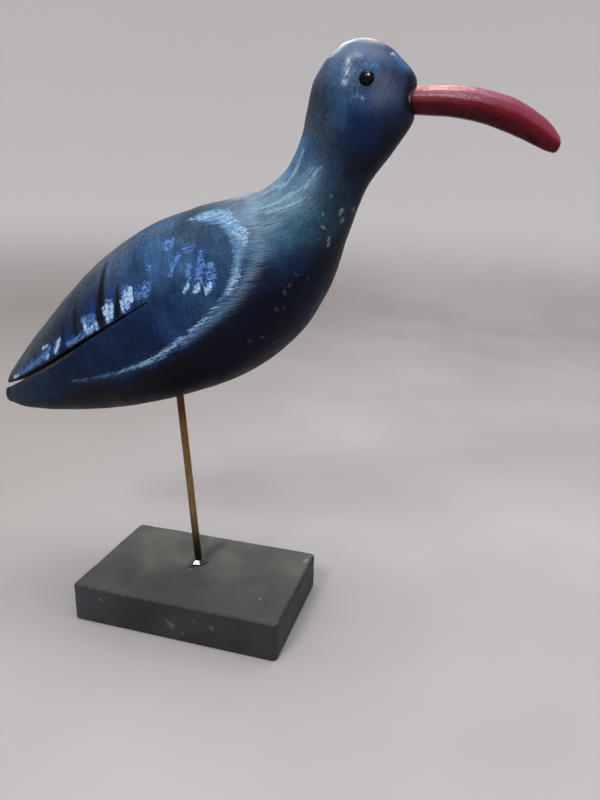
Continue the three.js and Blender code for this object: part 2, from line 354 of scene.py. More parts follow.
# ---------------------------------------------------------------- strokes of paint, with painted highlights and painted shade among them
def distances(points, line):
    """Each point's distance from a line of (x, z, half width), the line's half width there, and its side."""
    best = np.full(len(points), np.inf)
    width = np.zeros(len(points))
    side = np.zeros(len(points))
    for (ax, az, ar), (bx, bz, br) in zip(line, line[1:]):
        run = np.array([bx - ax, bz - az], float)
        offset = points - (ax, az)
        t = np.clip(offset @ run / (run @ run), 0, 1)
        gap = np.linalg.norm(offset - t[:, None] * run, axis=1)
        closer = gap < best
        best = np.where(closer, gap, best)
        width = np.where(closer, ar + (br - ar) * t, width)
        side = np.where(closer, np.sign(run[0] * offset[:, 1] - run[1] * offset[:, 0]), side)
    return best, width, side


def strokes(points, lines):
    """How far inside the nearest stroke each point is, in millimetres; less than nothing outside."""
    inside = np.full(len(points), NOWHERE)
    for line in lines:
        gap, width, _ = distances(points, line)
        inside = np.maximum(inside, width - gap)
    return inside


def washes(points, lines):
    """Soft cover of wide washes of paint: 1 along a line's middle, falling to 0 well outside it."""
    cover = np.zeros(len(points))
    for line in lines:
        gap, width, _ = distances(points, line)
        cover = np.maximum(cover, np.exp(-((gap / width) ** 2)))
    return cover


NOWHERE = -9.0  # far outside every stroke

# Everything painted on the bird lies in its side view, as lines of (x, z, half width).
WING_EDGE = [  # inner edge of the pale band round the folded wing, and how far the band fades outwards
    (8, 254, 2.4), (20, 253.6, 6.5), (30, 252.2, 11), (35.5, 248, 14), (39, 241.5, 14),
    (40, 235, 12), (39, 228.5, 11),
    (36.7, 221, 9), (33, 214.8, 8), (29.5, 209, 7), (24, 202.4, 5.5), (17, 196.2, 5), (9, 190, 5),
    (1.3, 184.8, 5),
    (-6, 179.4, 5), (-13, 175, 4.6), (-20, 171.6, 4), (-30, 167.6, 3.4), (-42, 163.4, 3), (-56, 159, 2.6),
    (-72, 155, 2),
]
STROKES = {
    "band_lights": [
        [(17, 258.4, 0.8), (26, 259.2, 1.6), (33, 257, 3), (39.5, 252, 3.2), (43.5, 246.5, 2.2)],
        [(9, 255, 0.6), (16, 256, 1), (22, 256, 1.2)],
        [(43.5, 251.5, 2), (45.6, 247.5, 1.8), (45.6, 243.5, 1)],
        [(43.5, 229, 1.2), (41.8, 224.5, 1.6), (38.6, 218, 1.2)],
        [(30, 208, 0.5), (22, 200.6, 0.6), (14, 193.8, 0.8)],
        [(11, 191.4, 1), (5, 187, 1.7), (-3.7, 180, 1.7), (-14, 174, 1.3), (-26, 168.8, 0.9),
         (-36, 164.8, 0.5)],
    ],
    "white_dabs": [
        [(14.4, 222, 0.5), (13.4, 219, 1.3), (12, 216.3, 0.6)],
        [(21, 221, 1.0), (20, 219, 1.9), (18.6, 217, 1.0)],
        [(27.4, 221.5, 1.0), (26.6, 219.3, 1.7), (25.4, 217.3, 1.0)],
        [(-23.6, 215.6, 1.6), (-22.6, 209.5, 1.6)],
        [(-26.8, 212.8, 1.8), (-25.4, 206, 1.8)],
        [(-29.4, 208, 1.3), (-28.6, 202.8, 1.0)],
        [(-36.8, 205.4, 1.4), (-36.6, 199, 1.2)],
        [(-40.2, 204, 2.0), (-39.8, 196, 0.9)],
        [(-43, 203.6, 0.9), (-42, 200, 1.2)],
        [(-51.5, 190.8, 1.4), (-55.5, 188, 1.6)],
        [(-48.8, 194, 1), (-48.2, 190, 0.9)],
        [(-57.5, 193, 1.0), (-57.2, 189, 1.1)],
        [(-80, 180.5, 1), (-82.5, 175, 1.4), (-84.5, 171.5, 0.9)],
        [(-97.5, 172, 0.8), (-92, 174.8, 0.8)],
        [(-90.6, 169.4, 0.9), (-92.5, 166.5, 0.8)],
        [(-130, 147.2, 1.1), (-125, 149.6, 0.9)],
    ],
    "blue_dabs": [
        [(-18.5, 213, 2.6), (-12.5, 219, 2.2)],
        [(-13, 213.5, 1.6), (-11, 216.5, 1.6)],
        [(-27, 214.5, 3), (-25.5, 204.5, 3)],
        [(-39, 206, 3.2), (-39, 196, 2.4)],
        [(-58, 194, 2.8), (-51.5, 196, 3.2), (-49, 191, 2.4)],
        [(-56.5, 188, 3), (-50, 190, 2.4)],
        [(-66, 182.5, 1.8), (-73, 178, 1.6), (-60, 185, 1.6)],
        [(-81, 179, 2), (-84, 172, 1.8)],
        [(-90, 173.5, 2.4), (-93, 167.5, 2.6), (-99, 166, 2)],
        [(-101, 163.5, 2), (-108, 160, 1.8)],
        [(-111, 157.5, 1.8), (-119, 153.5, 1.8), (-127, 149, 1.6)],
        [(-1.5, 240.5, 3), (1, 243, 1.6)],
        [(11.5, 239.5, 2.6), (15, 241, 1.6)],
        [(7, 236, 1.6), (4.5, 231, 1.5), (2.6, 224.5, 1)],
        [(21, 239, 1.4), (21.5, 230, 2.6), (20, 221, 2.4)],
        [(27, 232, 2), (28, 226, 2.6), (27, 220, 2)],
        [(14, 231, 1.6), (14.5, 224, 1.6)],
        [(-11.8, 230, 1.2), (-11.5, 227, 1)],
    ],
    "dark_bars": [
        [(-33.4, 218, 0.6), (-32.6, 208, 2), (-33, 200.5, 2.4)],
        [(-47, 228, 1), (-45.8, 212, 2.6), (-45.6, 196, 3.2)],
        [(-68, 206, 0.4), (-66.5, 192, 1.6), (-65, 184, 1.2)],
        [(-78, 190, 0.3), (-76.6, 181, 1.4)],
        [(-89.5, 182, 0.3), (-88, 173, 1.2)],
        [(-105, 168, 0.3), (-104.5, 163, 1)],
    ],
    "specks": [
        [(93.5, 262.5, 0.7), (92.2, 259.5, 0.6)],
        [(93.8, 257.5, 0.7), (93.2, 256, 0.6)],
        [(98, 263.5, 0.6), (97.6, 262, 0.6)],
        [(84.5, 253.6, 0.7), (86.5, 252.4, 0.6)],
        [(87.7, 248.4, 0.6), (87.4, 243.4, 0.7)],
        [(84.3, 261, 0.6), (84.9, 259.6, 0.6)],
        [(88.4, 269.6, 0.6), (88.6, 268, 0.5)],
        [(72.7, 228.7, 0.7), (73.5, 227.5, 0.6)],
        [(78, 226.6, 0.7), (78.4, 225, 0.6)],
        [(70.2, 223.3, 0.7), (69.6, 222, 0.6)],
        [(67, 219.5, 1), (67.4, 217.6, 0.8)],
        [(62.5, 210, 1), (63.2, 208.4, 0.8)],
        [(66.3, 211, 0.7), (66.7, 209.4, 0.6)],
        [(69.1, 222.4, 0.6), (69.4, 221, 0.6)],
        [(46.6, 191, 0.8), (47.3, 189.6, 0.7)],
        [(53.4, 193.4, 0.7), (54.2, 192, 0.6)],
        [(102.6, 315.6, 0.7), (102.9, 315.2, 0.6)],
    ],
    "nape": [
        [(71.8, 292, 0.8), (70, 286.5, 1.2), (67.6, 280, 1), (63, 274.5, 1), (56.5, 273, 1),
         (50, 269.5, 0.8)],
        [(48, 261, 0.8), (55, 263, 1), (62, 266, 1.1), (68, 270, 1), (75, 273.5, 0.9),
         (79, 279, 0.8), (82, 283, 0.6)],
        [(56, 260, 0.7), (64, 262.5, 0.8), (70, 265, 0.9), (77, 268.5, 0.8)],
    ],
    # Painted highlights behind and above the eye, partly dry pale paint.
    "head_dabs_and_highlights": [
        [(94.7, 333.6, 0.8), (94.4, 332, 0.9)],
        [(94.8, 328.4, 0.7), (94.4, 326.8, 0.9)],
        [(93.8, 323.4, 0.9), (93.6, 322.2, 0.7)],
        [(102.6, 315.7, 0.6), (103, 315.2, 0.5)],
        [(114.8, 337.2, 0.6), (115.3, 336.8, 0.5)],
    ],
    "head_blues": [
        [(98, 315, 0.9), (101, 317.6, 1.1)],
        [(100.6, 327, 0.8), (103.4, 330, 1.1), (107.6, 330.4, 1.2), (110.4, 327.6, 1), (110.6, 325, 0.6)],
        [(114.5, 337.4, 0.8), (118.5, 334.6, 1.1), (122.5, 330.6, 0.8)],
    ],
    # A brownish painted highlight along the saw cut's lower lip.
    "lip_highlight": [
        [(-137, 138.5, 0.5), (-122, 146.6, 0.7), (-104, 155, 0.7), (-86, 164, 0.6), (-68, 174.4, 0.3)],
    ],
}
WASHES = {
    "clouds": [
        [(20, 238, 4), (22, 230, 6), (24, 222, 6)],
        [(6, 237, 3), (4, 228, 3)],
        [(-24, 217, 4), (-26, 205, 4)],
        [(-37, 212, 4), (-39, 198, 4)],
        [(-51, 205, 4), (-53, 190, 5)],
        [(-68, 184, 4), (-84, 176, 4), (-98, 167, 4), (-118, 155, 3)],
    ],
    # Dark paint by the beak's root, deepened with painted shade in the pared recess round it.
    "lore_and_shade": [[(124.4, 326.5, 2.2), (124.6, 320, 2.4), (124, 313, 2.4)]],
    "silver": [
        [(47, 259, 4.5), (52, 250, 5), (53.5, 240, 4.2), (51, 230, 4), (46, 221, 4),
         (39, 212, 3.4), (30, 203.5, 3),
         (20, 195.5, 2.4), (10, 187.5, 1.6)],
        [(44, 262, 3), (54, 262, 6), (64, 265, 7), (73, 271, 6), (78, 280, 5)],
        [(52, 252, 5), (60, 255, 5)],
    ],
    "teal": [[(62, 255, 6), (72, 253, 7), (79, 259, 6)], [(63, 247, 4), (69, 245, 4)]],
    "dust": [
        [(-132, 150, 5), (-118, 166, 8), (-96, 188, 9), (-72, 211, 9), (-48, 230, 7),
         (-24, 243, 5), (-4, 250, 3)],
    ],
    "head_greys": [
        [(86, 334, 3), (93, 338, 5), (102, 339, 4.5), (108, 336, 4)],
        [(112, 325, 5), (115, 319, 6), (111, 315, 5)],
    ],
    # Soft painted highlights behind the eye, partly pale paint.
    "head_washes_and_highlights": [
        [(94.8, 334, 2.6), (94.6, 328, 2.8)],
        [(93.6, 323.1, 2), (93.6, 322.9, 2)],
        [(98, 336, 1.8), (100, 334, 1.6)],
    ],
    "head_tints": [
        [(88, 325, 3), (91, 318, 4), (93, 311, 4), (93, 304, 3)],
        [(113, 335, 2), (119, 331, 2.6), (123, 325, 2)],
        [(100, 316, 2.6), (104, 312, 3)],
    ],
    "band_glow": [
        [(14, 257, 1.6), (24, 257.4, 3), (33, 255, 4.6), (40, 249.6, 5), (43.4, 243, 3.2),
         (43, 233, 1.6), (40, 224, 1.6),
         (36, 216, 1)],
    ],
    # A pale painted highlight along the crown's rim, partly pale paint.
    "crown_wear_and_highlight": [[(72, 328, 1.8), (78, 337, 2.4), (86, 343.2, 2.8), (95, 346.2, 3), (104, 346.4, 2.4)]],
    "head_deeps": [
        [(99, 306, 6), (106, 300, 6), (96, 297, 5)],
        [(104, 311, 3), (110, 306, 4)],
        [(112, 310, 3), (119, 308, 3)],
    ],
}
BELLY_EDGE = [  # (x, z) where the belly's darker paint and the painted shade on the underside start, from the tail to under the beak
    (-150, 130), (-120, 132), (-95, 139), (-70, 149.5), (-55, 154), (-40, 158.5), (-28, 163), (-14, 169),
    (1, 177), (10, 184), (19, 191), (34, 204), (46, 213), (58, 220), (75, 230), (88, 243), (95, 256),
    (98.5, 268), (104.5, 283), (110, 293), (116, 301), (122, 308), (130, 314),
]
UNDERPAINT = [  # (x, z) and the paint's colour there, as red, green and blue out of 255
    ((-120, 160), (56, 76, 88)), ((-100, 180), (48, 62, 78)), ((-75, 195), (30, 48, 78)),
    ((-50, 212), (38, 54, 80)), ((-20, 228), (52, 84, 122)), ((0, 236), (72, 112, 154)),
    ((10, 250), (66, 86, 102)), ((30, 240), (50, 84, 118)), ((5, 206), (32, 64, 106)),
    ((-20, 190), (18, 44, 80)), ((-45, 175), (20, 42, 78)), ((-75, 160), (15, 33, 66)),
    ((-110, 145), (20, 38, 70)), ((-135, 135), (38, 56, 78)), ((-60, 140), (28, 26, 34)),
    ((0, 160), (11, 11, 22)), ((35, 185), (12, 21, 54)), ((50, 206), (8, 20, 54)),
    ((60, 221), (11, 28, 62)), ((76, 235), (20, 44, 82)), ((87, 268), (30, 40, 56)),
    ((-43, 226), (76, 98, 132)), ((62, 252), (76, 114, 144)), ((78, 258), (60, 98, 114)),
    ((87, 245), (36, 36, 48)), ((70, 270), (106, 144, 164)), ((75, 286), (74, 118, 160)),
    ((84, 300), (76, 86, 92)), ((92, 290), (15, 30, 54)), ((101, 290), (16, 22, 38)),
    ((78, 318), (50, 58, 64)), ((85, 331), (86, 114, 144)), ((95, 341), (106, 136, 166)),
    ((106, 340), (74, 92, 122)), ((118, 338), (28, 70, 128)), ((124, 330), (32, 58, 104)),
    ((123, 321), (30, 26, 42)), ((112, 322), (100, 114, 132)), ((113, 313), (52, 80, 112)),
    ((100, 312), (22, 54, 104)), ((95, 319), (74, 116, 158)), ((105, 305), (6, 40, 88)),
    ((112, 300), (5, 12, 26)), ((94, 304), (14, 46, 84)), ((118, 303), (10, 14, 22)),
    ((80, 325), (50, 60, 74)), ((48, 262), (124, 144, 160)), ((30, 216), (50, 76, 110)),
    ((99, 325), (78, 106, 138)),
]
UNDERPAINT_REACH = 9.0


def to_linear(colour):
    """A display colour out of 255 as linear light."""
    share = np.asarray(colour, float) / 255
    return np.where(share <= 0.04045, share / 12.92, ((share + 0.055) / 1.055) ** 2.4)


def underpainted(points):
    """The soft ground colour at each point, with full cover: nearby colours run into each other."""
    total = np.zeros((len(points), 3))
    weights = np.full(len(points), 1e-12)
    for place_at, colour in UNDERPAINT:
        near = np.exp(-np.sum((points - place_at) ** 2, axis=1) / (2 * UNDERPAINT_REACH**2)) + 1e-9
        total += near[:, None] * to_linear(colour)
        weights += near
    return np.column_stack([total / weights[:, None], np.ones(len(points))])




# ---------------------------------------------------------------- the bird's body
def sections_through(stations, per_span):
    """Stations of (top, bottom, half width) as smooth centres, half heights and half widths."""
    tops, bottoms, widths = (np.array(part, float) for part in zip(*stations))
    centres = smooth_through((tops + bottoms) / 2, per_span)
    heights = smooth_through((tops - bottoms) / 2, per_span)
    return centres, heights, smooth_widths(widths, per_span)


def smooth_widths(widths, per_span):
    return smooth_through(list(enumerate(widths)), per_span)[:, 1]


def body_rings(per_span, cap_count, round_count):
    centres, heights, widths = sections_through(BODY_STATIONS, per_span)
    tail = cap_sections(centres[0], heights[0], widths[0], BODY_POLES[0], BODY_CAP_STARTS[0], cap_count)
    crown = cap_sections(centres[-1], heights[-1], widths[-1], BODY_POLES[1], BODY_CAP_STARTS[1], cap_count)
    centres = np.vstack([tail[0][::-1], centres, crown[0]])
    heights = np.vstack([tail[1][::-1], heights, crown[1]])
    widths = np.concatenate([tail[2][::-1], widths, crown[2]])
    return rings_on(centres, heights, widths, oval(round_count, BODY_SQUARENESS))


def wing_cut_blade():
    """The slot of the saw cut, right through the bird from side to side."""
    line = smooth_through([place_at for place_at, _ in WING_CUT], 6)
    widths = smooth_widths([width for _, width in WING_CUT], 6)
    runs = np.gradient(line, axis=0)
    across = np.column_stack([-runs[:, 1], runs[:, 0]]) / np.linalg.norm(runs, axis=1)[:, None]
    half = across * widths[:, None] / 2
    outline = np.vstack([line + half, (line - half)[::-1]])
    count = len(outline)
    ends = []
    for y in (-CUT_REACH, CUT_REACH):
        heights = outline[:, 1] + CUT_TILT * (CUT_LEVEL + y)
        ends.append(np.column_stack([outline[:, 0], np.full(count, y), heights]))
    sides = [(i, (i + 1) % count, count + (i + 1) % count, count + i) for i in range(count)]
    numbers = list(range(2 * count))
    return new_solid("blade", np.vstack(ends), [numbers[:count][::-1], numbers[count:], *sides])


def socket_rim():
    """The shallow round recess that the glue round the beak lies in."""
    low, high = extent("beak_glue_line")
    rim = drill((high[2] - low[2]) / 2 - 0.2, DRILL_LENGTH, 64)
    turn = Matrix.Rotation(math.radians(90), 4, "Y")
    place(rim, shift(low[0] - RECESS - SOCKET_SINK, 0, BEAK_ROOT[1]) @ turn)
    return rim


def socket_plug():
    """The hole in the head that the beak is glued into."""
    centres, heights, widths = beak_sections(4)
    inside = centres[:, 0] < BEAK_STATIONS[2][0][0]
    grow = 1 + SOCKET_CLEARANCE / widths[inside]
    section = oval(40, BEAK_SQUARENESS)
    rings = rings_on(centres[inside], heights[inside] * grow[:, None], widths[inside] * grow, section)
    first = in_mid_plane(centres[0] - (SOCKET_CLEARANCE, 0))
    return new_solid("plug", *skin(first, rings, in_mid_plane(centres[inside][-1])))


def eye_seat(side):
    """The middle of an eye's flat back, its radius and its depth: side is 1 on the left, -1 on the right."""
    low, high = extent("eye_left" if side > 0 else "eye_right")
    middle = (low + high) / 2
    middle[1] = side * min(abs(low[1]), abs(high[1]))
    return middle, (high[0] - low[0]) / 2, high[1] - low[1]


def face_sideways(obj, side, place_at):
    """Turns a shape made along +Z to point out of the bird's side."""
    place(obj, shift(*place_at) @ Matrix.Rotation(math.radians(-90 * side), 4, "X"))


def eye_bed(side):
    """The shallow flat-bottomed recess under an eye."""
    seat, radius, _ = eye_seat(side)
    bed = drill(radius + EYE_CLEARANCE, DRILL_LENGTH)
    face_sideways(bed, side, seat - (0, side * RECESS, 0))
    return bed


def flow_over(loft_points, loft_faces, rings, points):
    """Distance along the bird and round it from its back, in millimetres, at each point."""
    lines = np.linalg.norm(np.diff(rings.mean(axis=1), axis=0), axis=1)
    along = np.concatenate([[0], np.cumsum(lines)])
    steps = np.linalg.norm(np.diff(rings, axis=1, append=rings[:, :1]), axis=2)
    half = rings.shape[1] // 2
    around = np.zeros(rings.shape[:2])
    around[:, 1:half + 1] = np.cumsum(steps[:, :half], axis=1)
    around[:, half + 1:] = around[:, 1:half][:, ::-1]
    flow = np.column_stack([np.repeat(along, rings.shape[1]), around.ravel()])
    flow = np.vstack([[along[0], 0], flow, [along[-1], 0]])
    tree = BVHTree.FromPolygons([Vector(p) for p in loft_points], loft_faces)
    found = np.empty((len(points), 2))
    for i, point in enumerate(points):
        hit, _, face, _ = tree.find_nearest(Vector(point))
        corners = list(loft_faces[face])
        gaps = np.linalg.norm(loft_points[corners] - np.array(hit), axis=1)
        weights = 1 / (gaps + 1e-4) ** 2
        found[i] = weights @ flow[corners] / weights.sum()
    return found


def make_body():
    """The carved block: lofted, made even, roughened, then cut and painted."""
    rings = body_rings(16, 24, 128)
    loft_points, loft_faces = skin(in_mid_plane(BODY_POLES[0]), rings, in_mid_plane(BODY_POLES[1]))
    body = new_solid("bird_painted_body", loft_points, loft_faces)
    remesh(body, BODY_VOXEL, 2)
    shape_body(body)
    body.data.materials.append(BirdPaint().material)
    raw = cut_paint()
    cutters = [wing_cut_blade(), socket_plug(), socket_rim(), eye_bed(-1), eye_bed(1), rod_bore()]
    for cutter in cutters:
        cutter.data.materials.append(raw)
    cut(body, *cutters)
    points = vertices(body)
    paint_body(body, points, flow_over(loft_points, loft_faces, rings, points))
    shade(body, 50)
    return body


def cut_distance(points):
    """Each point's distance from the middle of the saw cut in the side view, and the cut's width there."""
    level = points[:, 2] - CUT_TILT * (CUT_LEVEL + points[:, 1])
    line = [(*place_at, width) for place_at, width in WING_CUT[CUT_MOUTH:]]
    return distances(np.column_stack([points[:, 0], level]), line)[:2]


def shape_body(body):
    """Eases the lips of the saw cut, pares the face and leaves the unevenness of knife and sandpaper."""
    points = vertices(body)
    gap, width = cut_distance(points)
    lip = np.exp(-((gap / 2.0) ** 2)) * np.clip(width / 2, 0, 1) * np.clip(np.abs(points[:, 1]) / 6, 0, 1)
    wander = rough_noise(points, 26) * 0.28 + rough_noise(points + 50, 9, 2) * 0.1
    front_x, beak_z = BEAK_ROOT
    near_beak = np.exp(-(((points[:, 2] - beak_z) / 4.8) ** 2) - (points[:, 1] / 9) ** 2)
    pared = 2 * SOCKET_SINK * near_beak * np.clip((points[:, 0] - front_x + 20) / 15, 0, 1)
    moved = push_out(body, wander - 1.1 * lip)
    moved[:, 0] -= pared
    move_vertices(body, moved)


def paint_body(body, points, flow):
    """Keeps, for every point, where the painter's strokes and washes lie, with painted highlights and painted
    shade among them.
    """
    side_view = points[:, [0, 2]].copy()
    far = np.clip(points[:, 1] / 12, 0, 1)  # on the far side they wander a little
    side_view[:, 0] += far * 2.5 * np.sin(points[:, 2] / 13)
    side_view[:, 1] += far * 2.0 * np.sin(points[:, 0] / 17)
    store(body, "flow", np.column_stack([flow, points[:, 1]]), "FLOAT_VECTOR")
    store(body, "underpaint", underpainted(side_view), "FLOAT_COLOR")
    gap, width, side = distances(side_view, WING_EDGE)
    store(body, "wing_edge", side * gap)
    store(body, "band", np.exp(-np.maximum(side * gap, 0) / width))
    # Where the belly's darker paint and the painted shade on the underside start.
    gap, _, side = distances(side_view, [(x, z, 0) for x, z in BELLY_EDGE])
    store(body, "belly", -side * gap)
    # Where painted shade, partly dark paint, lies along the saw cut's lips.
    gap, width = cut_distance(points)
    store(body, "cut_gap", gap / (0.25 + 0.6 * width))
    for name, lines in STROKES.items():
        store(body, name, strokes(side_view, lines))
    for name, lines in WASHES.items():
        store(body, name, washes(side_view, lines))


# ---------------------------------------------------------------- the beak and its glue
def beak_sections(per_span):
    """The beak's smooth centres, its leaning half heights and its half widths."""
    centres = smooth_through([station[0] for station in BEAK_STATIONS], per_span)
    sizes = smooth_through([[i, *station[1:]] for i, station in enumerate(BEAK_STATIONS)], per_span)
    lean = np.radians(sizes[:, 3:])
    up = np.hstack([np.sin(lean), np.cos(lean)])
    return centres, up * sizes[:, 1:2], sizes[:, 2]


def make_beak():
    """The whittled beak: its flats fade out towards its tip."""
    centres, heights, widths = beak_sections(14)
    tip = cap_sections(centres[-1], heights[-1], widths[-1], BEAK_TIP, BEAK_TIP_START, 16)
    centres = np.vstack([centres, tip[0]])
    heights = np.vstack([heights, tip[1]])
    widths = np.concatenate([widths, tip[2]])
    strength = np.clip((BEAK_FLATS_END - centres[:, 0]) / BEAK_FLATS_FADE, 0.15, 1)
    sections = np.array([faceted(oval(96, BEAK_SQUARENESS), s) for s in strength])
    rings = rings_on(centres, heights, widths, sections)
    beak = new_solid("beak_painted", *skin(in_mid_plane(centres[0]), rings, in_mid_plane(BEAK_TIP)))
    remesh(beak, BEAK_VOXEL, 2)
    points = vertices(beak)
    points = push_out(beak, rough_noise(points + 90, 14, 2) * 0.22 + rough_noise(points, 4, 2) * 0.05)
    middle = np.interp(points[:, 0], centres[:, 0], centres[:, 1])
    reach = np.interp(points[:, 0], centres[:, 0], np.linalg.norm(heights, axis=1))
    store(beak, "upper", (points[:, 2] - middle) / np.maximum(reach, 1))
    store(beak, "root", np.exp(-(((points[:, 0] - BEAK_STATIONS[2][0][0]) / 19) ** 2)))
    shade(beak)
    return beak


def make_glue_ring():
    """The thin uneven line of filler round the root of the beak."""
    low, high = extent("beak_glue_line")
    middle = (low + high) / 2 - (RING_SINK, 0, 0)
    outer = (high[2] - low[2]) / 2 - 0.5
    inner = BEAK_STATIONS[1][2] - 0.2
    count, round_count = 96, 14
    points = []
    for angle in np.arange(count) / count * FULL_TURN:
        swell = 1 + 0.16 * math.sin(3 * angle + 1) + 0.1 * math.sin(7 * angle)
        swell += 0.06 * math.sin(13 * angle + 2)
        for turn in np.arange(round_count) / round_count * FULL_TURN:
            radius = (inner + outer) / 2 + (outer - inner) / 2 * swell * math.cos(turn)
            x = middle[0] + (high[0] - low[0]) / 2 * swell * math.sin(turn)
            points.append((x, radius * math.sin(angle), middle[2] + radius * math.cos(angle)))
    faces = []
    for i in range(count):
        a, b = i * round_count, (i + 1) % count * round_count
        for j in range(round_count):
            k = (j + 1) % round_count
            faces.append((a + j, b + j, b + k, a + k))
    ring = new_solid("beak_glue_ring", points, faces)
    shade(ring)
    return ring


# ---------------------------------------------------------------- the eyes
def make_eye(name, side):
    """A domed bead on a short flat edge, lying in its bed."""
    seat, radius, depth = eye_seat(side)
    edge = depth * EYE_EDGE
    profile = [(0, 0), (radius * 0.92, 0), (radius * 0.98, edge * 0.2), (radius, edge * 0.6)]
    for angle in np.linspace(0, math.pi / 2, 22):
        profile.append((radius * math.cos(angle), edge + (depth - edge) * math.sin(angle)))
    profile[-1] = (0, depth)
    eye = lathe(name, profile, 64)
    face_sideways(eye, side, seat)
    shade(eye)
    return eye


# ---------------------------------------------------------------- the stand
# Marks in the board's top, in plan (x, y, half width), and on its front face (x, z, half width).
BOARD_SMEARS = [[(2, -4, 1.2), (-2.5, -7.2, 1.2), (-4.2, -8.4, 0.5)], [(3.4, 1, 0.9), (4.2, 2, 0.5)]]
# Darker patches on the top, round the rod and towards the front.
BOARD_SMOKE = [
    [(3, 6, 5), (1.5, 18, 5), (6, 26, 4)],
    [(-50, -10, 8), (-40, -24, 7), (-34, -38, 7)],
    [(1, -20, 9), (12, -26, 8)],
    [(43, -12, 8), (52, 0, 11), (62, -20, 12)],
    [(-20, -36, 12), (10, -42, 12)],
]
BOARD_HAZE = [
    [(-10, -2, 7), (-24, 4, 9), (-32, 18, 9)],
    [(-30, -14, 8), (-46, 16, 9)],
    [(-48, 26, 8), (-30, 28, 8)],
    [(14.5, 12.5, 7), (24, 8, 6)],
]
BOARD_FLECKS = [
    [(-1.6, -10.8, 1), (-1, -10.6, 0.8)],
    [(-5.7, 33, 1), (-4.4, 33.6, 0.8)],
    [(54.8, -28, 0.9), (55.4, -28.2, 0.7)],
    [(-52.6, 3.5, 0.8), (-52, 3.6, 0.6)],
    [(69, 23, 1), (70, 25, 1.3), (70.4, 28, 0.7)],
    [(71, 31.9, 0.9), (71.3, 32.6, 0.8)],
]
FRONT_SCUFFS = [
    [(0.6, 14.2, 0.6), (3.6, 11.4, 0.9), (6.4, 10.6, 0.6)],
    [(1.6, 9.8, 0.5), (5.8, 8.4, 0.8)],
    [(30.4, 16.4, 0.5), (32.4, 14.4, 0.9), (33, 13, 0.5)],
    [(12.2, 6.4, 0.7), (12.6, 5.4, 0.6)],
    [(20, 16.8, 0.6), (21, 16.4, 0.5)],
    [(-46, 18.4, 0.8), (-43.6, 17.8, 0.6)],
    [(-61, 14.4, 0.6), (-60, 14.6, 0.5)],
]


def board_block():
    """A board with round upright corners and eased edges."""
    low, high = BOARD_LOW, BOARD_HIGH
    middle = (low + high) / 2
    corners = []
    quarters = ((high[0], high[1], 0), (low[0], high[1], 90), (low[0], low[1], 180), (high[0], low[1], 270))
    for x, y, start in quarters:
        centre = (x, y) + BOARD_CORNER * np.sign(middle[:2] - (x, y))
        for angle in np.radians(start + np.linspace(0, 90, 9)):
            corners.append((*centre, math.cos(angle), math.sin(angle)))
    levels = [(BOARD_FOOT_EASING, low[2]), (0, low[2] + BOARD_FOOT_EASING), (0, high[2] - BOARD_TOP_EASING)]
    levels += [(0.3 * BOARD_TOP_EASING, high[2] - 0.3 * BOARD_TOP_EASING), (BOARD_TOP_EASING, high[2])]
    rings = []
    for inset, z in levels:
        radius = BOARD_CORNER - inset
        rings.append([(x + radius * cos, y + radius * sin, z) for x, y, cos, sin in corners])
    foot, top = (np.array([[middle[0], middle[1], z]]) for z in (low[2], high[2]))
    return new_solid("plinth_board", *skin(foot, np.array(rings), top))


def wear_board(board):
    """Makes the faces slightly uneven and knocks the edges, but keeps the foot flat."""
    points = vertices(board)
    edge = np.sort(np.minimum(points - BOARD_LOW, BOARD_HIGH - points), axis=1)[:, 1]
    near_edge = np.exp(-((edge / 2.2) ** 2))
    knocks = np.clip(rough_noise(points, 5, 2) - 0.25, 0, 1)
    wander = rough_noise(points, 30, 2) * 0.2 - knocks * near_edge
    push_out(board, np.where(points[:, 2] < 1.5, np.minimum(wander, 0) * 0.2, wander))


def make_board():
    """The board, bored for the rod; its points keep where the marks on it lie."""
    board = board_block()
    remesh(board, BOARD_VOXEL, 1)
    wear_board(board)
    cut(board, rod_bore())
    points = vertices(board)
    plan = points[:, :2]
    store(board, "smears", strokes(plan, BOARD_SMEARS))
    store(board, "dark_patches", washes(plan, BOARD_SMOKE))
    store(board, "haze", washes(plan, BOARD_HAZE))
    store(board, "flecks", strokes(plan, BOARD_FLECKS))
    scuffs = strokes(points[:, [0, 2]], FRONT_SCUFFS)
    store(board, "scuffs", np.where(points[:, 1] < BOARD_LOW[1] + 1.5, scuffs, NOWHERE))
    top_edge = np.minimum(np.abs(plan - BOARD_LOW[:2]), np.abs(BOARD_HIGH[:2] - plan)).min(axis=1)
    store(board, "corner", np.exp(-((top_edge / 1.6) ** 2) - ((BOARD_TOP - points[:, 2]) / 1.6) ** 2))
    shade(board, 50)
    return board


def make_rod():
    """A straight rod, chamfered at both ends, from inside the board to inside the bird."""
    profile = [(0, 0), (ROD_RADIUS - ROD_CHAMFER, 0)]
    profile += [(ROD_RADIUS, z) for z in np.linspace(ROD_CHAMFER, ROD_LENGTH - ROD_CHAMFER, 60)]
    profile += [(ROD_RADIUS - ROD_CHAMFER, ROD_LENGTH), (0, ROD_LENGTH)]
    rod = lathe("brass_rod", profile, 48)
    along_rod(rod, -ROD_DEPTH)
    shade(rod, 50)
    return rod


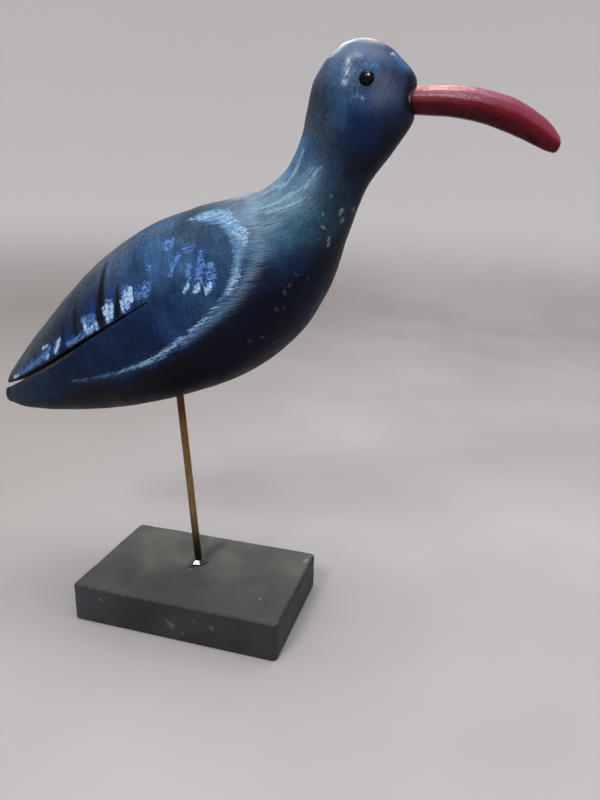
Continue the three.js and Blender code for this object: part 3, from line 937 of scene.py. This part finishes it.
def make_glue_bead():
    """A glossy bead of glue and paint round the rod's foot, with a flat front and run out unevenly behind."""
    low, high = extent("rod_glue_bead")
    outer = (high[0] - low[0]) / 2 * BEAD_SPREAD
    height = high[2] - low[2]
    gap = low[2] - BOARD_TOP

    def wobble(angles, z):
        share = np.clip(1 - (z - gap) / height, 0, 1)
        from_front = np.abs((angles - 1.5 * math.pi + math.pi) % FULL_TURN - math.pi)
        flat = 1 / np.cos(np.minimum(from_front, 0.6))
        lumps = 0.16 * np.sin(2 * angles + 0.6) + 0.07 * np.sin(7 * angles)
        return flat * (1 + share * lumps * np.clip(from_front - 0.6, 0, 1))

    reach = outer - ROD_RADIUS
    profile = [(0, gap), (outer, gap)]
    for step in np.linspace(0, 1, 18):
        profile.append((ROD_RADIUS - 0.1 + reach * (1 - step), gap + 0.1 + reach * step))
    profile.append((0, profile[-1][1]))
    bead = lathe("glue_fillet", profile, 72, wobble)
    along_rod(bead)
    shade(bead)
    return bead


# ---------------------------------------------------------------- material tools
class Paint:
    """One material, and short ways to add nodes to it."""

    def __init__(self, name):
        self.material = bpy.data.materials.new(name)
        self.material.use_nodes = True
        self.tree = self.material.node_tree
        self.tree.nodes.clear()
        self.shader = self.add("ShaderNodeBsdfPrincipled")
        self.give(self.add("ShaderNodeOutputMaterial").inputs["Surface"], self.shader.outputs[0])
        self.place = self.scaled(self.add("ShaderNodeTexCoord").outputs["Object"], 1 / MM)

    def add(self, kind, **settings):
        node = self.tree.nodes.new(kind)
        for name, value in settings.items():
            setattr(node, name, value)
        return node

    def give(self, socket, value):
        """Joins a socket to another node's output, or sets it."""
        if isinstance(value, bpy.types.NodeSocket):
            self.tree.links.new(value, socket)
        else:
            socket.default_value = value

    def scaled(self, vector, scale):
        node = self.add("ShaderNodeVectorMath", operation="MULTIPLY")
        self.give(node.inputs[0], vector)
        node.inputs[1].default_value = (scale,) * 3 if isinstance(scale, (int, float)) else scale
        return node.outputs[0]

    def noise(self, vector, scale, detail=3.0, rough=0.55, distort=0.0):
        """Noise of 0 to 1, whose bumps are 1 / scale across."""
        node = self.add("ShaderNodeTexNoise")
        self.give(node.inputs["Vector"], self.scaled(vector, scale))
        settings = {"Scale": 1.0, "Detail": detail, "Roughness": rough, "Distortion": distort}
        for name, value in settings.items():
            node.inputs[name].default_value = value
        return node.outputs["Fac"]

    def math(self, operation, a, b):
        node = self.add("ShaderNodeMath", operation=operation)
        self.give(node.inputs[0], a)
        self.give(node.inputs[1], b)
        return node.outputs[0]

    def times(self, a, b):
        return self.math("MULTIPLY", a, b)

    def plus(self, a, b):
        return self.math("ADD", a, b)

    def between(self, a, b, share):
        """A noise that is a, but for its share of b."""
        return self.plus(self.times(a, 1 - share), self.times(b, share))

    def swing(self, noise, size):
        """A noise that goes to both sides of nothing, size in all."""
        return self.times(self.math("SUBTRACT", noise, 0.5), size)

    def ramp(self, value, low, high, start=0.0, end=1.0):
        """Goes smoothly from start to end as value goes from low to high."""
        node = self.add("ShaderNodeMapRange", interpolation_type="SMOOTHSTEP")
        self.give(node.inputs["Value"], value)
        limits = {"From Min": low, "From Max": high, "To Min": start, "To Max": end}
        for name, limit in limits.items():
            node.inputs[name].default_value = limit
        return node.outputs["Result"]

    def mix(self, share, a, b, blend="MIX"):
        node = self.add("ShaderNodeMix", data_type="RGBA", blend_type=blend)
        self.give(node.inputs["Factor"], share)
        self.give(node.inputs[6], self.colour(a))
        self.give(node.inputs[7], self.colour(b))
        return node.outputs[2]

    def colour(self, value):
        """A display colour out of 255 as a socket's value; an output is passed on."""
        if isinstance(value, bpy.types.NodeSocket):
            return value
        return (*to_linear(value), 1.0)

    def grey(self, value):
        node = self.add("ShaderNodeCombineColor")
        for socket in node.inputs:
            self.give(socket, value)
        return node.outputs[0]

    def split(self, vector):
        """The outputs X, Y and Z of a vector."""
        node = self.add("ShaderNodeSeparateXYZ")
        self.give(node.inputs[0], vector)
        return node.outputs

    def kept(self, name, part="Fac"):
        """What the mesh keeps for each point under this name."""
        return self.add("ShaderNodeAttribute", attribute_name=name).outputs[part]

    def emboss(self, height, depth):
        """Gives the surface a relief, depth in millimetres."""
        node = self.add("ShaderNodeBump")
        node.inputs["Distance"].default_value = depth * MM
        self.give(node.inputs["Height"], height)
        self.give(self.shader.inputs["Normal"], node.outputs["Normal"])

    def finish(self, colour, roughness, metallic=0.0, **settings):
        self.give(self.shader.inputs["Base Color"], colour)
        self.give(self.shader.inputs["Roughness"], roughness)
        self.give(self.shader.inputs["Metallic"], metallic)
        for name, value in settings.items():
            self.shader.inputs[name.replace("_", " ")].default_value = value
        return self.material


class BirdPaint(Paint):
    """Old brushed paint: a navy ground, dry-brushed light blue and white, and dusty on the back; with painted
    highlights on the crown, behind the eye and on the saw cut's lip, and painted shade on the belly, by the
    beak's root and along the saw cut.
    """

    def __init__(self):
        super().__init__("bird_paint")
        flow = self.kept("flow", "Vector")
        self.along = self.noise(flow, (0.06, 1.3, 0.03), 4.0, 0.6, 0.3)
        self.along_fine = self.noise(flow, (0.1, 3.2, 0.05), 3.0, 0.6, 0.2)
        self.across = self.noise(flow, (1.2, 0.07, 0.03), 4.0, 0.6, 0.3)
        self.hatch = self.noise(flow, (0.24, 0.95, 0.05), 3.0, 0.65, 0.4)
        self.mottle = self.noise(self.place, 0.09, 4.0)
        self.speck = self.noise(self.place, 1.15, 3.0, 0.7)
        self.sparkle = self.ramp(self.between(self.hatch, self.speck, 0.4), 0.43, 0.58)
        self.ground()
        self.soft_washes()
        self.wing()
        self.marks()
        self.head()
        self.edges()
        grit = self.noise(self.place, 2.2, 2.0, 0.7)
        rough = self.ramp(self.plus(self.mottle, self.times(grit, 0.3)), 0.4, 0.9, 0.36, 0.54)
        self.emboss(self.between(self.hairs, self.speck, 0.3), 0.12)
        self.finish(self.coat, rough, Specular_IOR_Level=0.16)

    def lay(self, cover, strength, paint):
        """Lays a paint over the coat."""
        self.coat = self.mix(self.times(cover, strength), self.coat, paint)

    def wash(self, name, brush, low, high, strength, paint):
        """Lays a kept wash, broken up by the brush's hairs."""
        self.lay(self.times(self.kept(name), self.ramp(brush, low, high)), strength, paint)

    def stroke(self, name, edge, hair, ragged, soft, gaps, strength, paint):
        """Lays kept strokes as a dry brush does: ragged at the edge, with gaps down to the given cover."""
        frayed = self.plus(self.kept(name), self.swing(hair, ragged * 4))
        frayed = self.plus(frayed, self.swing(self.speck, ragged * 3))
        texture = self.ramp(self.between(self.hatch, hair, 0.4), 0.4, 0.52, gaps, 1.0)
        self.lay(self.times(self.ramp(frayed, edge - soft, edge + soft), texture), strength, paint)

    def ground(self):
        """The underpaint, brushed across the folded wing and along the rest."""
        self.wing_edge = self.kept("wing_edge")
        wing = self.ramp(self.wing_edge, -2.0, 1.0, 1.0, 0.0)
        outside = self.math("SUBTRACT", 1.0, wing)
        self.hairs = self.plus(self.times(wing, self.across), self.times(outside, self.along_fine))
        tone = self.ramp(self.mottle, 0.3, 0.7, 0.72, 1.28)
        tone = self.times(tone, self.ramp(self.hairs, 0.3, 0.7, 0.72, 1.3))
        tone = self.times(tone, self.ramp(self.speck, 0.35, 0.65, 0.72, 1.28))
        self.coat = self.mix(1.0, self.kept("underpaint", "Color"), self.grey(tone), "MULTIPLY")

    def soft_washes(self):
        dusty = self.mix(self.ramp(self.speck, 0.4, 0.62), (84, 98, 104), (136, 146, 146))
        self.wash("dust", self.along, 0.35, 0.7, 0.8, dusty)
        self.wash("teal", self.along_fine, 0.3, 0.65, 0.4, (48, 108, 128))
        self.wash("silver", self.along_fine, 0.36, 0.58, 0.68, (144, 174, 198))
        self.wash("clouds", self.across, 0.32, 0.56, 0.7, (26, 68, 144))
        self.wash("head_deeps", self.along, 0.25, 0.6, 0.6, (8, 44, 88))
        self.wash("head_tints", self.hatch, 0.3, 0.6, 0.4, (66, 112, 160))
        self.wash("head_greys", self.along, 0.2, 0.6, 0.6, (112, 122, 146))
        # Dark paint by the beak's root, deepened with painted shade in the pared recess round it.
        self.lay(self.kept("lore_and_shade"), 0.85, (20, 16, 30))

    def wing(self):
        """Dark bars and blue dabs on the folded wing, and the pale band that fades away outside it."""
        self.stroke("dark_bars", 0.2, self.across, 0.9, 1.4, 0.95, 0.92, (8, 10, 20))
        blues = self.mix(self.sparkle, (38, 84, 162), (134, 182, 234))
        self.stroke("blue_dabs", 0.0, self.across, 1.1, 1.1, 0.5, 0.8, blues)
        inner = self.ramp(self.plus(self.wing_edge, self.swing(self.along, 5.0)), -0.5, 0.7)
        spread = self.plus(self.kept("band"), self.swing(self.along_fine, 1.4))
        spread = self.ramp(self.plus(spread, self.swing(self.speck, 1.4)), 0.35, 0.85)
        streaked = self.ramp(self.between(self.along, self.hatch, 0.5), 0.44, 0.62)
        self.lay(self.times(inner, spread), 0.7, self.mix(streaked, (38, 80, 142), (132, 178, 220)))
        thin = self.ramp(self.plus(self.along_fine, self.mottle), 0.75, 1.1, 0.3, 1.0)
        self.lay(self.times(inner, self.times(self.kept("band_glow"), thin)), 0.62, (150, 190, 220))
        lights = self.mix(self.sparkle, (92, 146, 200), (198, 228, 246))
        self.stroke("band_lights", 0.2, self.along, 1.8, 0.9, 0.3, 0.8, lights)

    def marks(self):
        """The nape's streaks, the white dabs and the breast's specks."""
        self.stroke("nape", 0.3, self.along_fine, 1.8, 0.5, 0.3, 0.75, (168, 200, 216))
        whites = self.mix(self.sparkle, (136, 186, 242), (212, 236, 255))
        self.stroke("white_dabs", 0.0, self.across, 0.8, 0.5, 0.65, 0.95, whites)
        self.stroke("specks", 0.3, self.along, 0.8, 0.5, 0.3, 0.75, (165, 184, 200))

    def head(self):
        azure = self.mix(self.sparkle, (34, 96, 164), (104, 170, 220))
        self.stroke("head_blues", 0.4, self.along, 1.2, 1.4, 0.4, 0.7, azure)
        patchy = self.plus(self.along, self.speck)
        # A pale painted highlight along the crown's rim, partly pale paint.
        self.wash("crown_wear_and_highlight", patchy, 0.65, 1.05, 0.9, (214, 222, 232))
        # Painted highlights behind and above the eye, partly dry pale paint.
        self.wash("head_washes_and_highlights", patchy, 0.75, 1.2, 0.65, (172, 186, 200))
        self.stroke("head_dabs_and_highlights", 0.0, self.along, 0.8, 1.0, 0.6, 0.75, (206, 222, 236))

    def edges(self):
        """A brownish painted highlight on the saw cut's lip, the belly's darker paint deepened with painted
        shade on the underside, and painted shade, partly dark paint, in the cut's mouth.
        """
        # A brownish painted highlight along the saw cut's lower lip.
        self.stroke("lip_highlight", 0.0, self.along, 0.8, 0.8, 0.4, 0.7, (112, 98, 84))
        # The belly's darker paint, deepened as painted shade on the underside.
        belly = self.ramp(self.plus(self.kept("belly"), self.swing(self.along, 6.0)), -3.0, 5.0)
        self.lay(belly, 0.75, (5, 8, 24))
        # Painted shade along the saw cut's lips, partly dark paint.
        self.lay(self.ramp(self.kept("cut_gap"), 0.9, 1.6, 1.0, 0.0), 0.9, (10, 11, 15))


def cut_paint():
    """Thin dark paint that ran into the saw cut and the drilled holes."""
    p = Paint("cut_paint")
    fibre = p.noise(p.place, (0.1, 0.4, 1.2), 4.0)
    colour = p.mix(p.ramp(fibre, 0.35, 0.7), (8, 9, 13), (24, 24, 26))
    p.emboss(fibre, 0.2)
    return p.finish(colour, p.ramp(fibre, 0.3, 0.7, 0.6, 0.8))


def beak_paint():
    """Glossy dark red brushed lengthwise, with painted shade on its lower side and a painted sheen and
    painted highlights of dusty rose on its upper facets.
    """
    p = Paint("beak_paint")
    brush = p.noise(p.place, (0.06, 1.2, 1.2), 4.0, 0.6, 0.4)
    mottle = p.noise(p.place, 0.2, 3.0)
    fine = p.noise(p.place, (0.5, 1.5, 1.5), 3.0, 0.65)
    turned = p.plus(p.kept("upper"), p.swing(brush, 0.3))
    # Darker below and lighter above, by height on the beak: painted shade and painted sheen.
    colour = p.mix(p.ramp(turned, -0.7, 0.1), (58, 0, 8), (114, 8, 30))
    colour = p.mix(p.ramp(mottle, 0.4, 0.7, 0.0, 0.3), colour, (132, 22, 38))
    # A painted sheen of dusty rose on the upper facets.
    colour = p.mix(p.ramp(turned, 0.05, 0.5, 0.0, 0.8), colour, (160, 80, 102))
    # Painted highlights on the upper facet near the root, brightest in patches.
    ridge = p.times(p.kept("root"), p.ramp(turned, 0.08, 0.2))
    colour = p.mix(p.times(ridge, 0.75), colour, (170, 112, 134))
    patchy = p.times(ridge, p.ramp(p.plus(brush, fine), 0.95, 1.2))
    colour = p.mix(p.times(patchy, 0.7), colour, (214, 176, 184))
    p.emboss(p.plus(brush, p.times(fine, 0.5)), 0.2)
    return p.finish(colour, p.ramp(fine, 0.3, 0.7, 0.24, 0.4), Specular_IOR_Level=0.24)


def filler_paint():
    """Pale filler, with blue paint on parts of it."""
    p = Paint("pale_filler")
    patches = p.noise(p.place, 0.45, 3.0)
    fine = p.noise(p.place, 1.6, 3.0)
    colour = p.mix(p.ramp(patches, 0.4, 0.52), (40, 70, 96), (150, 196, 206))
    p.emboss(fine, 0.1)
    return p.finish(colour, p.ramp(fine, 0.3, 0.7, 0.4, 0.6))


def eye_glass():
    """Black glass, a little rubbed."""
    p = Paint("eye_glass")
    smoky = p.noise(p.place, 0.4, 2.0)
    colour = p.mix(p.ramp(smoky, 0.3, 0.7), (2, 2, 3), (8, 5, 5))
    return p.finish(colour, p.ramp(smoky, 0.3, 0.7, 0.13, 0.17), Specular_IOR_Level=0.2)


def wire_steel():
    """Bare drawn wire."""
    p = Paint("wire_steel")
    drawn = p.noise(p.place, (3.0, 0.1, 3.0), 3.0)
    colour = p.mix(p.ramp(drawn, 0.3, 0.7), (120, 122, 124), (165, 166, 168))
    return p.finish(colour, p.ramp(drawn, 0.3, 0.7, 0.3, 0.5), metallic=1.0)


class BoardPaint(Paint):
    """Flat dark grey paint over a plain board: dusty and greenish on top, chipped on its faces; the top and
    the sides are lit and shaded copies of one paint.
    """

    def __init__(self):
        super().__init__("plinth_paint")
        self.cloud = self.noise(self.place, 0.035, 4.0, 0.6)
        self.grain = self.noise(self.place, (0.04, 0.9, 0.9), 4.0, 0.6)
        self.grit = self.noise(self.place, 1.4, 3.0, 0.7)
        self.rub = self.noise(self.place, (0.35, 0.35, 1.2), 4.0, 0.65)
        upward = self.split(self.add("ShaderNodeNewGeometry").outputs["Normal"])["Z"]
        # The top and the sides are lit and shaded copies of one paint: painted light on the top, which is
        # also dusty, and painted shade on the sides.
        colour = self.mix(self.ramp(upward, 0.5, 0.9), self.side(), self.dusty_and_lit_top())
        colour = self.mix(self.times(self.marked("scuffs", 0.3, 0.8), 0.6), colour, (150, 152, 158))
        # Darker along the top edges, in patches.
        patchy = self.times(self.kept("corner"), self.ramp(self.rub, 0.35, 0.6, 0.1, 0.75))
        colour = self.mix(patchy, colour, (30, 31, 34))
        colour = self.mix(self.ramp(self.grit, 0.66, 0.74, 0, 0.4), colour, (140, 142, 140))
        self.emboss(self.plus(self.times(self.grain, 0.4), self.times(self.grit, 0.5)), 0.15)
        self.finish(colour, self.ramp(self.grit, 0.3, 0.7, 0.5, 0.68))

    def marked(self, name, edge, soft):
        """Cover of kept marks with rough edges."""
        return self.ramp(self.plus(self.kept(name), self.swing(self.grit, 3.0)), edge - soft, edge + soft)

    # The sides' colour, darker as painted shade.
    def side(self):
        side = self.mix(self.ramp(self.cloud, 0.35, 0.65), (44, 46, 52), (60, 63, 67))
        side = self.mix(self.ramp(self.rub, 0.55, 0.8, 0, 0.5), side, (84, 88, 92))
        return self.mix(self.ramp(self.split(self.place)["X"], -66, -34, 0.5, 0.0), side, (82, 87, 94))

    # The top's colour: dusty, and lighter as painted light.
    def dusty_and_lit_top(self):
        top = self.mix(self.ramp(self.cloud, 0.3, 0.7), (98, 102, 98), (118, 120, 112))
        top = self.mix(self.ramp(self.split(self.place)["Y"], -42, 2, 0.55, 0.0), top, (76, 78, 77))
        top = self.mix(self.times(self.kept("haze"), 0.38), top, (142, 142, 133))
        # Darker patches on the top, round the rod and towards the front.
        top = self.mix(self.times(self.kept("dark_patches"), 0.5), top, (76, 79, 79))
        top = self.mix(self.ramp(self.grain, 0.45, 0.75, 0, 0.18), top, (112, 116, 111))
        top = self.mix(self.times(self.marked("flecks", 0.2, 0.7), 0.7), top, (176, 184, 184))
        return self.mix(self.times(self.marked("smears", 0.0, 0.5), 0.9), top, (22, 22, 24))


def rod_brass():
    """Tarnished brass with black paint run up its foot."""
    p = Paint("rod_brass")
    height = p.split(p.place)["Z"]
    drawn = p.noise(p.place, (1.6, 1.6, 0.12), 4.0, 0.6)
    stain = p.noise(p.place, 0.12, 3.0)
    brass = p.mix(p.ramp(stain, 0.35, 0.65), (134, 110, 72), (158, 132, 88))
    brass = p.mix(p.ramp(drawn, 0.55, 0.75, 0, 0.6), brass, (92, 72, 42))
    brass = p.mix(p.ramp(height, BOARD_TOP + 76, BOARD_TOP + 118, 0.0, 0.85), brass, (84, 52, 30))
    edge = p.plus(height, p.swing(drawn, 9.0))
    painted = p.ramp(edge, BOARD_TOP + 10.5, BOARD_TOP + 15, 1.0, 0.0)
    sooty = p.ramp(edge, BOARD_TOP + 14, BOARD_TOP + 32, 0.75, 0.0)
    colour = p.mix(painted, p.mix(sooty, brass, (48, 38, 28)), (14, 14, 16))
    metal = p.math("SUBTRACT", 1.0, painted)
    p.emboss(drawn, 0.06)
    return p.finish(colour, p.ramp(drawn, 0.3, 0.7, 0.28, 0.46), metal)


def clear_glue():
    """Glossy glue over the black paint at the rod's foot."""
    p = Paint("clear_glue")
    cloud = p.noise(p.place, 0.35, 3.0)
    colour = p.mix(p.ramp(cloud, 0.35, 0.65), (10, 10, 12), (30, 31, 32))
    rough = p.ramp(cloud, 0.3, 0.7, 0.2, 0.28)
    p.emboss(cloud, 0.08)
    return p.finish(colour, rough, Coat_Weight=1.0, Coat_IOR=1.8, Coat_Roughness=0.12)


def backdrop_cloth():
    """Pale and matt, a little darker towards the left of the floor as painted shade, and lighter up the wall
    as painted light.
    """
    p = Paint("backdrop")
    cloud = p.noise(p.place, 0.004, 3.0)
    place_at = p.split(p.place)
    floor = p.mix(p.ramp(cloud, 0.3, 0.7), (202, 197, 196), (212, 207, 206))
    # Darker towards the left of the floor: painted shade.
    floor = p.mix(p.ramp(place_at["X"], -300, 60, 0.6, 0.0), floor, (186, 178, 173))
    # Lighter up the sweep and the wall: painted light.
    colour = p.mix(p.ramp(place_at["Z"], 0, 240), floor, (242, 238, 237))
    return p.finish(colour, p.ramp(cloud, 0.3, 0.7, 0.85, 0.95))


# ---------------------------------------------------------------- stage, light and camera
FLOOR_REACH = 1300.0
WALL_BEND = 700.0
WALL_HEIGHT = 1500.0
NARROW_LIGHTS = [  # name, the way to it, what it is aimed at, its angle, its size, its power and its colour
    ("window", (-370, 760, 540), (90, 4, 343), 8, 260, 30, (0.96, 0.98, 1.0)),
    ("lamp on the crown", (-60, 780, 620), (98, 3, 346), 2.8, 120, 55, (1.0, 0.52, 0.26)),
    ("lamp on the beak", (-60, 780, 620), (136, 2, 323), 3.0, 120, 1.8, (1.0, 0.42, 0.1)),
    ("glint", (-324, -683, 925), (104, -20, 325), 9, 320, 11, (1.0, 1.0, 1.0)),
]
CAMERA_PLACE = (170.7, -360.9, 262.0)
CAMERA_TURNS = (15.66, 16.58, 1.66)  # to its left, downwards, and its lean to the right, in degrees
CAMERA_LENS = 28.8


def make_stage():
    """A flat floor that sweeps up all round into a low wall."""
    profile = [(FLOOR_REACH * share, 0.0) for share in np.linspace(0.02, 1, 24)]
    for angle in np.linspace(0, math.pi / 2, 24)[1:]:
        profile.append((FLOOR_REACH + WALL_BEND * math.sin(angle), WALL_BEND * (1 - math.cos(angle))))
    profile.append((FLOOR_REACH + WALL_BEND, WALL_HEIGHT))
    count = 96
    angles = np.arange(count) / count * FULL_TURN
    points = [(0, 0, 0)]
    for radius, z in profile:
        points += [(radius * math.cos(a), radius * math.sin(a), z) for a in angles]
    faces = [(0, 1 + i, 1 + (i + 1) % count) for i in range(count)]
    for ring in range(len(profile) - 1):
        a, b = 1 + ring * count, 1 + (ring + 1) * count
        faces += [(a + i, b + i, b + (i + 1) % count, a + (i + 1) % count) for i in range(count)]
    stage = new_object("floor", points, faces)
    stage.data.materials.append(backdrop_cloth())
    shade(stage)


def new_light(name, kind, place_at, aim, power, colour):
    data = bpy.data.lights.new(name, kind)
    data.energy = power
    data.color = colour
    light = bpy.data.objects.new(name, data)
    light.location = Vector(place_at) * MM
    light.rotation_euler = (Vector(aim) - Vector(place_at)).to_track_quat("-Z", "Y").to_euler()
    bpy.context.scene.collection.objects.link(light)
    return light


def soft_light(name, place_at, aim, size, power, colour=(1, 1, 1)):
    light = new_light(name, "AREA", place_at, aim, power, colour)
    light.data.shape = "DISK"
    light.data.size = size * MM
    return light


def narrow_light(name, away, aim, angle, size, power, colour):
    """A soft beam onto one small place: away is the way from there to the light."""
    light = new_light(name, "SPOT", Vector(aim) + Vector(away), aim, power, colour)
    light.data.spot_size = math.radians(angle)
    light.data.spot_blend = 0.6
    light.data.shadow_soft_size = size / 2 * MM
    light.visible_camera = False


def catch_light(name, away, aim, size, power, piece):
    """A soft light that only one small glossy piece catches."""
    light = soft_light(name, Vector(aim) + Vector(away), aim, size, power)
    light.visible_camera = False
    catching = bpy.data.collections.new(name)
    catching.objects.link(piece)
    light.light_linking.receiver_collection = catching


def make_lights():
    middle = (20, 0, 200)
    soft_light("key", (-300, -1250, 1280), middle, 420, 8.0, (1.0, 0.98, 0.96))
    soft_light("overhead", (100, 100, 1450), middle, 1000, 8.0, (0.95, 0.98, 1.0))
    for settings in NARROW_LIGHTS:
        narrow_light(*settings)
    world = bpy.data.worlds.new("studio")
    world.use_nodes = True
    background = world.node_tree.nodes["Background"]
    background.inputs["Color"].default_value = (0.93, 0.95, 1.0, 1.0)
    background.inputs["Strength"].default_value = 0.52
    bpy.context.scene.world = world
    bpy.context.scene.view_settings.view_transform = "Standard"
    bpy.context.scene.view_settings.gamma = 0.88


def make_camera():
    """The camera stands in front of the bird's right side, a little above it, and leans very slightly."""
    yaw, pitch, roll = (math.radians(angle) for angle in CAMERA_TURNS)
    forward = Vector((-math.sin(yaw) * math.cos(pitch), math.cos(yaw) * math.cos(pitch), -math.sin(pitch)))
    level = Vector((math.cos(yaw), math.sin(yaw), 0))
    upright = level.cross(forward)
    right = level * math.cos(roll) + upright * math.sin(roll)
    up = upright * math.cos(roll) - level * math.sin(roll)
    data = bpy.data.cameras.new("camera")
    data.lens = CAMERA_LENS
    data.sensor_width = 36
    camera = bpy.data.objects.new("camera", data)
    camera.matrix_world = shift(*CAMERA_PLACE) @ Matrix((right, up, -forward)).transposed().to_4x4()
    bpy.context.scene.collection.objects.link(camera)
    bpy.context.scene.camera = camera


# ---------------------------------------------------------------- putting it together
def join_in(piece, material, body, slot, *nodes):
    """Finishes a piece: its material, the CAD body it rides on, and the CAD nodes it stands for."""
    if material:
        piece.data.materials.append(material)
    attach(piece, body)
    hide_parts(*nodes)


def build_bird():
    join_in(make_body(), None, "bird", "bird_paint", "bird_body")
    join_in(make_beak(), beak_paint(), "bird", "beak_paint", "beak")
    join_in(make_glue_ring(), filler_paint(), "bird", "pale_filler", "beak_glue_line")
    glass = eye_glass()
    join_in(make_eye("eye_bead_left", 1), glass, "bird", "eye_glass", "eye_left")
    near_eye = make_eye("eye_bead_right", -1)
    join_in(near_eye, glass, "bird", "eye_glass", "eye_right")
    catch_light("eye glint", (150, -225, 290), (104.6, -22, 324.4), 260, 5.5, near_eye)
    steel = wire_steel()
    for node in ("eye_wire_left", "eye_wire_right"):
        wire = frame["nodes"][node]
        wire.data.materials.clear()
        wire.data.materials.append(steel)


def build_stand():
    join_in(make_board(), BoardPaint().material, "stand", "plinth_paint", "plinth")
    join_in(make_rod(), rod_brass(), "stand", "rod_brass", "support_rod")
    bead = make_glue_bead()
    join_in(bead, clear_glue(), "stand", "clear_glue", "rod_glue_bead")
    catch_light("glue glint", (-146, -136, 224), (0, -3, 28), 80, 0.2, bead)


make_camera()
make_lights()
make_stage()
build_bird()
build_stand()
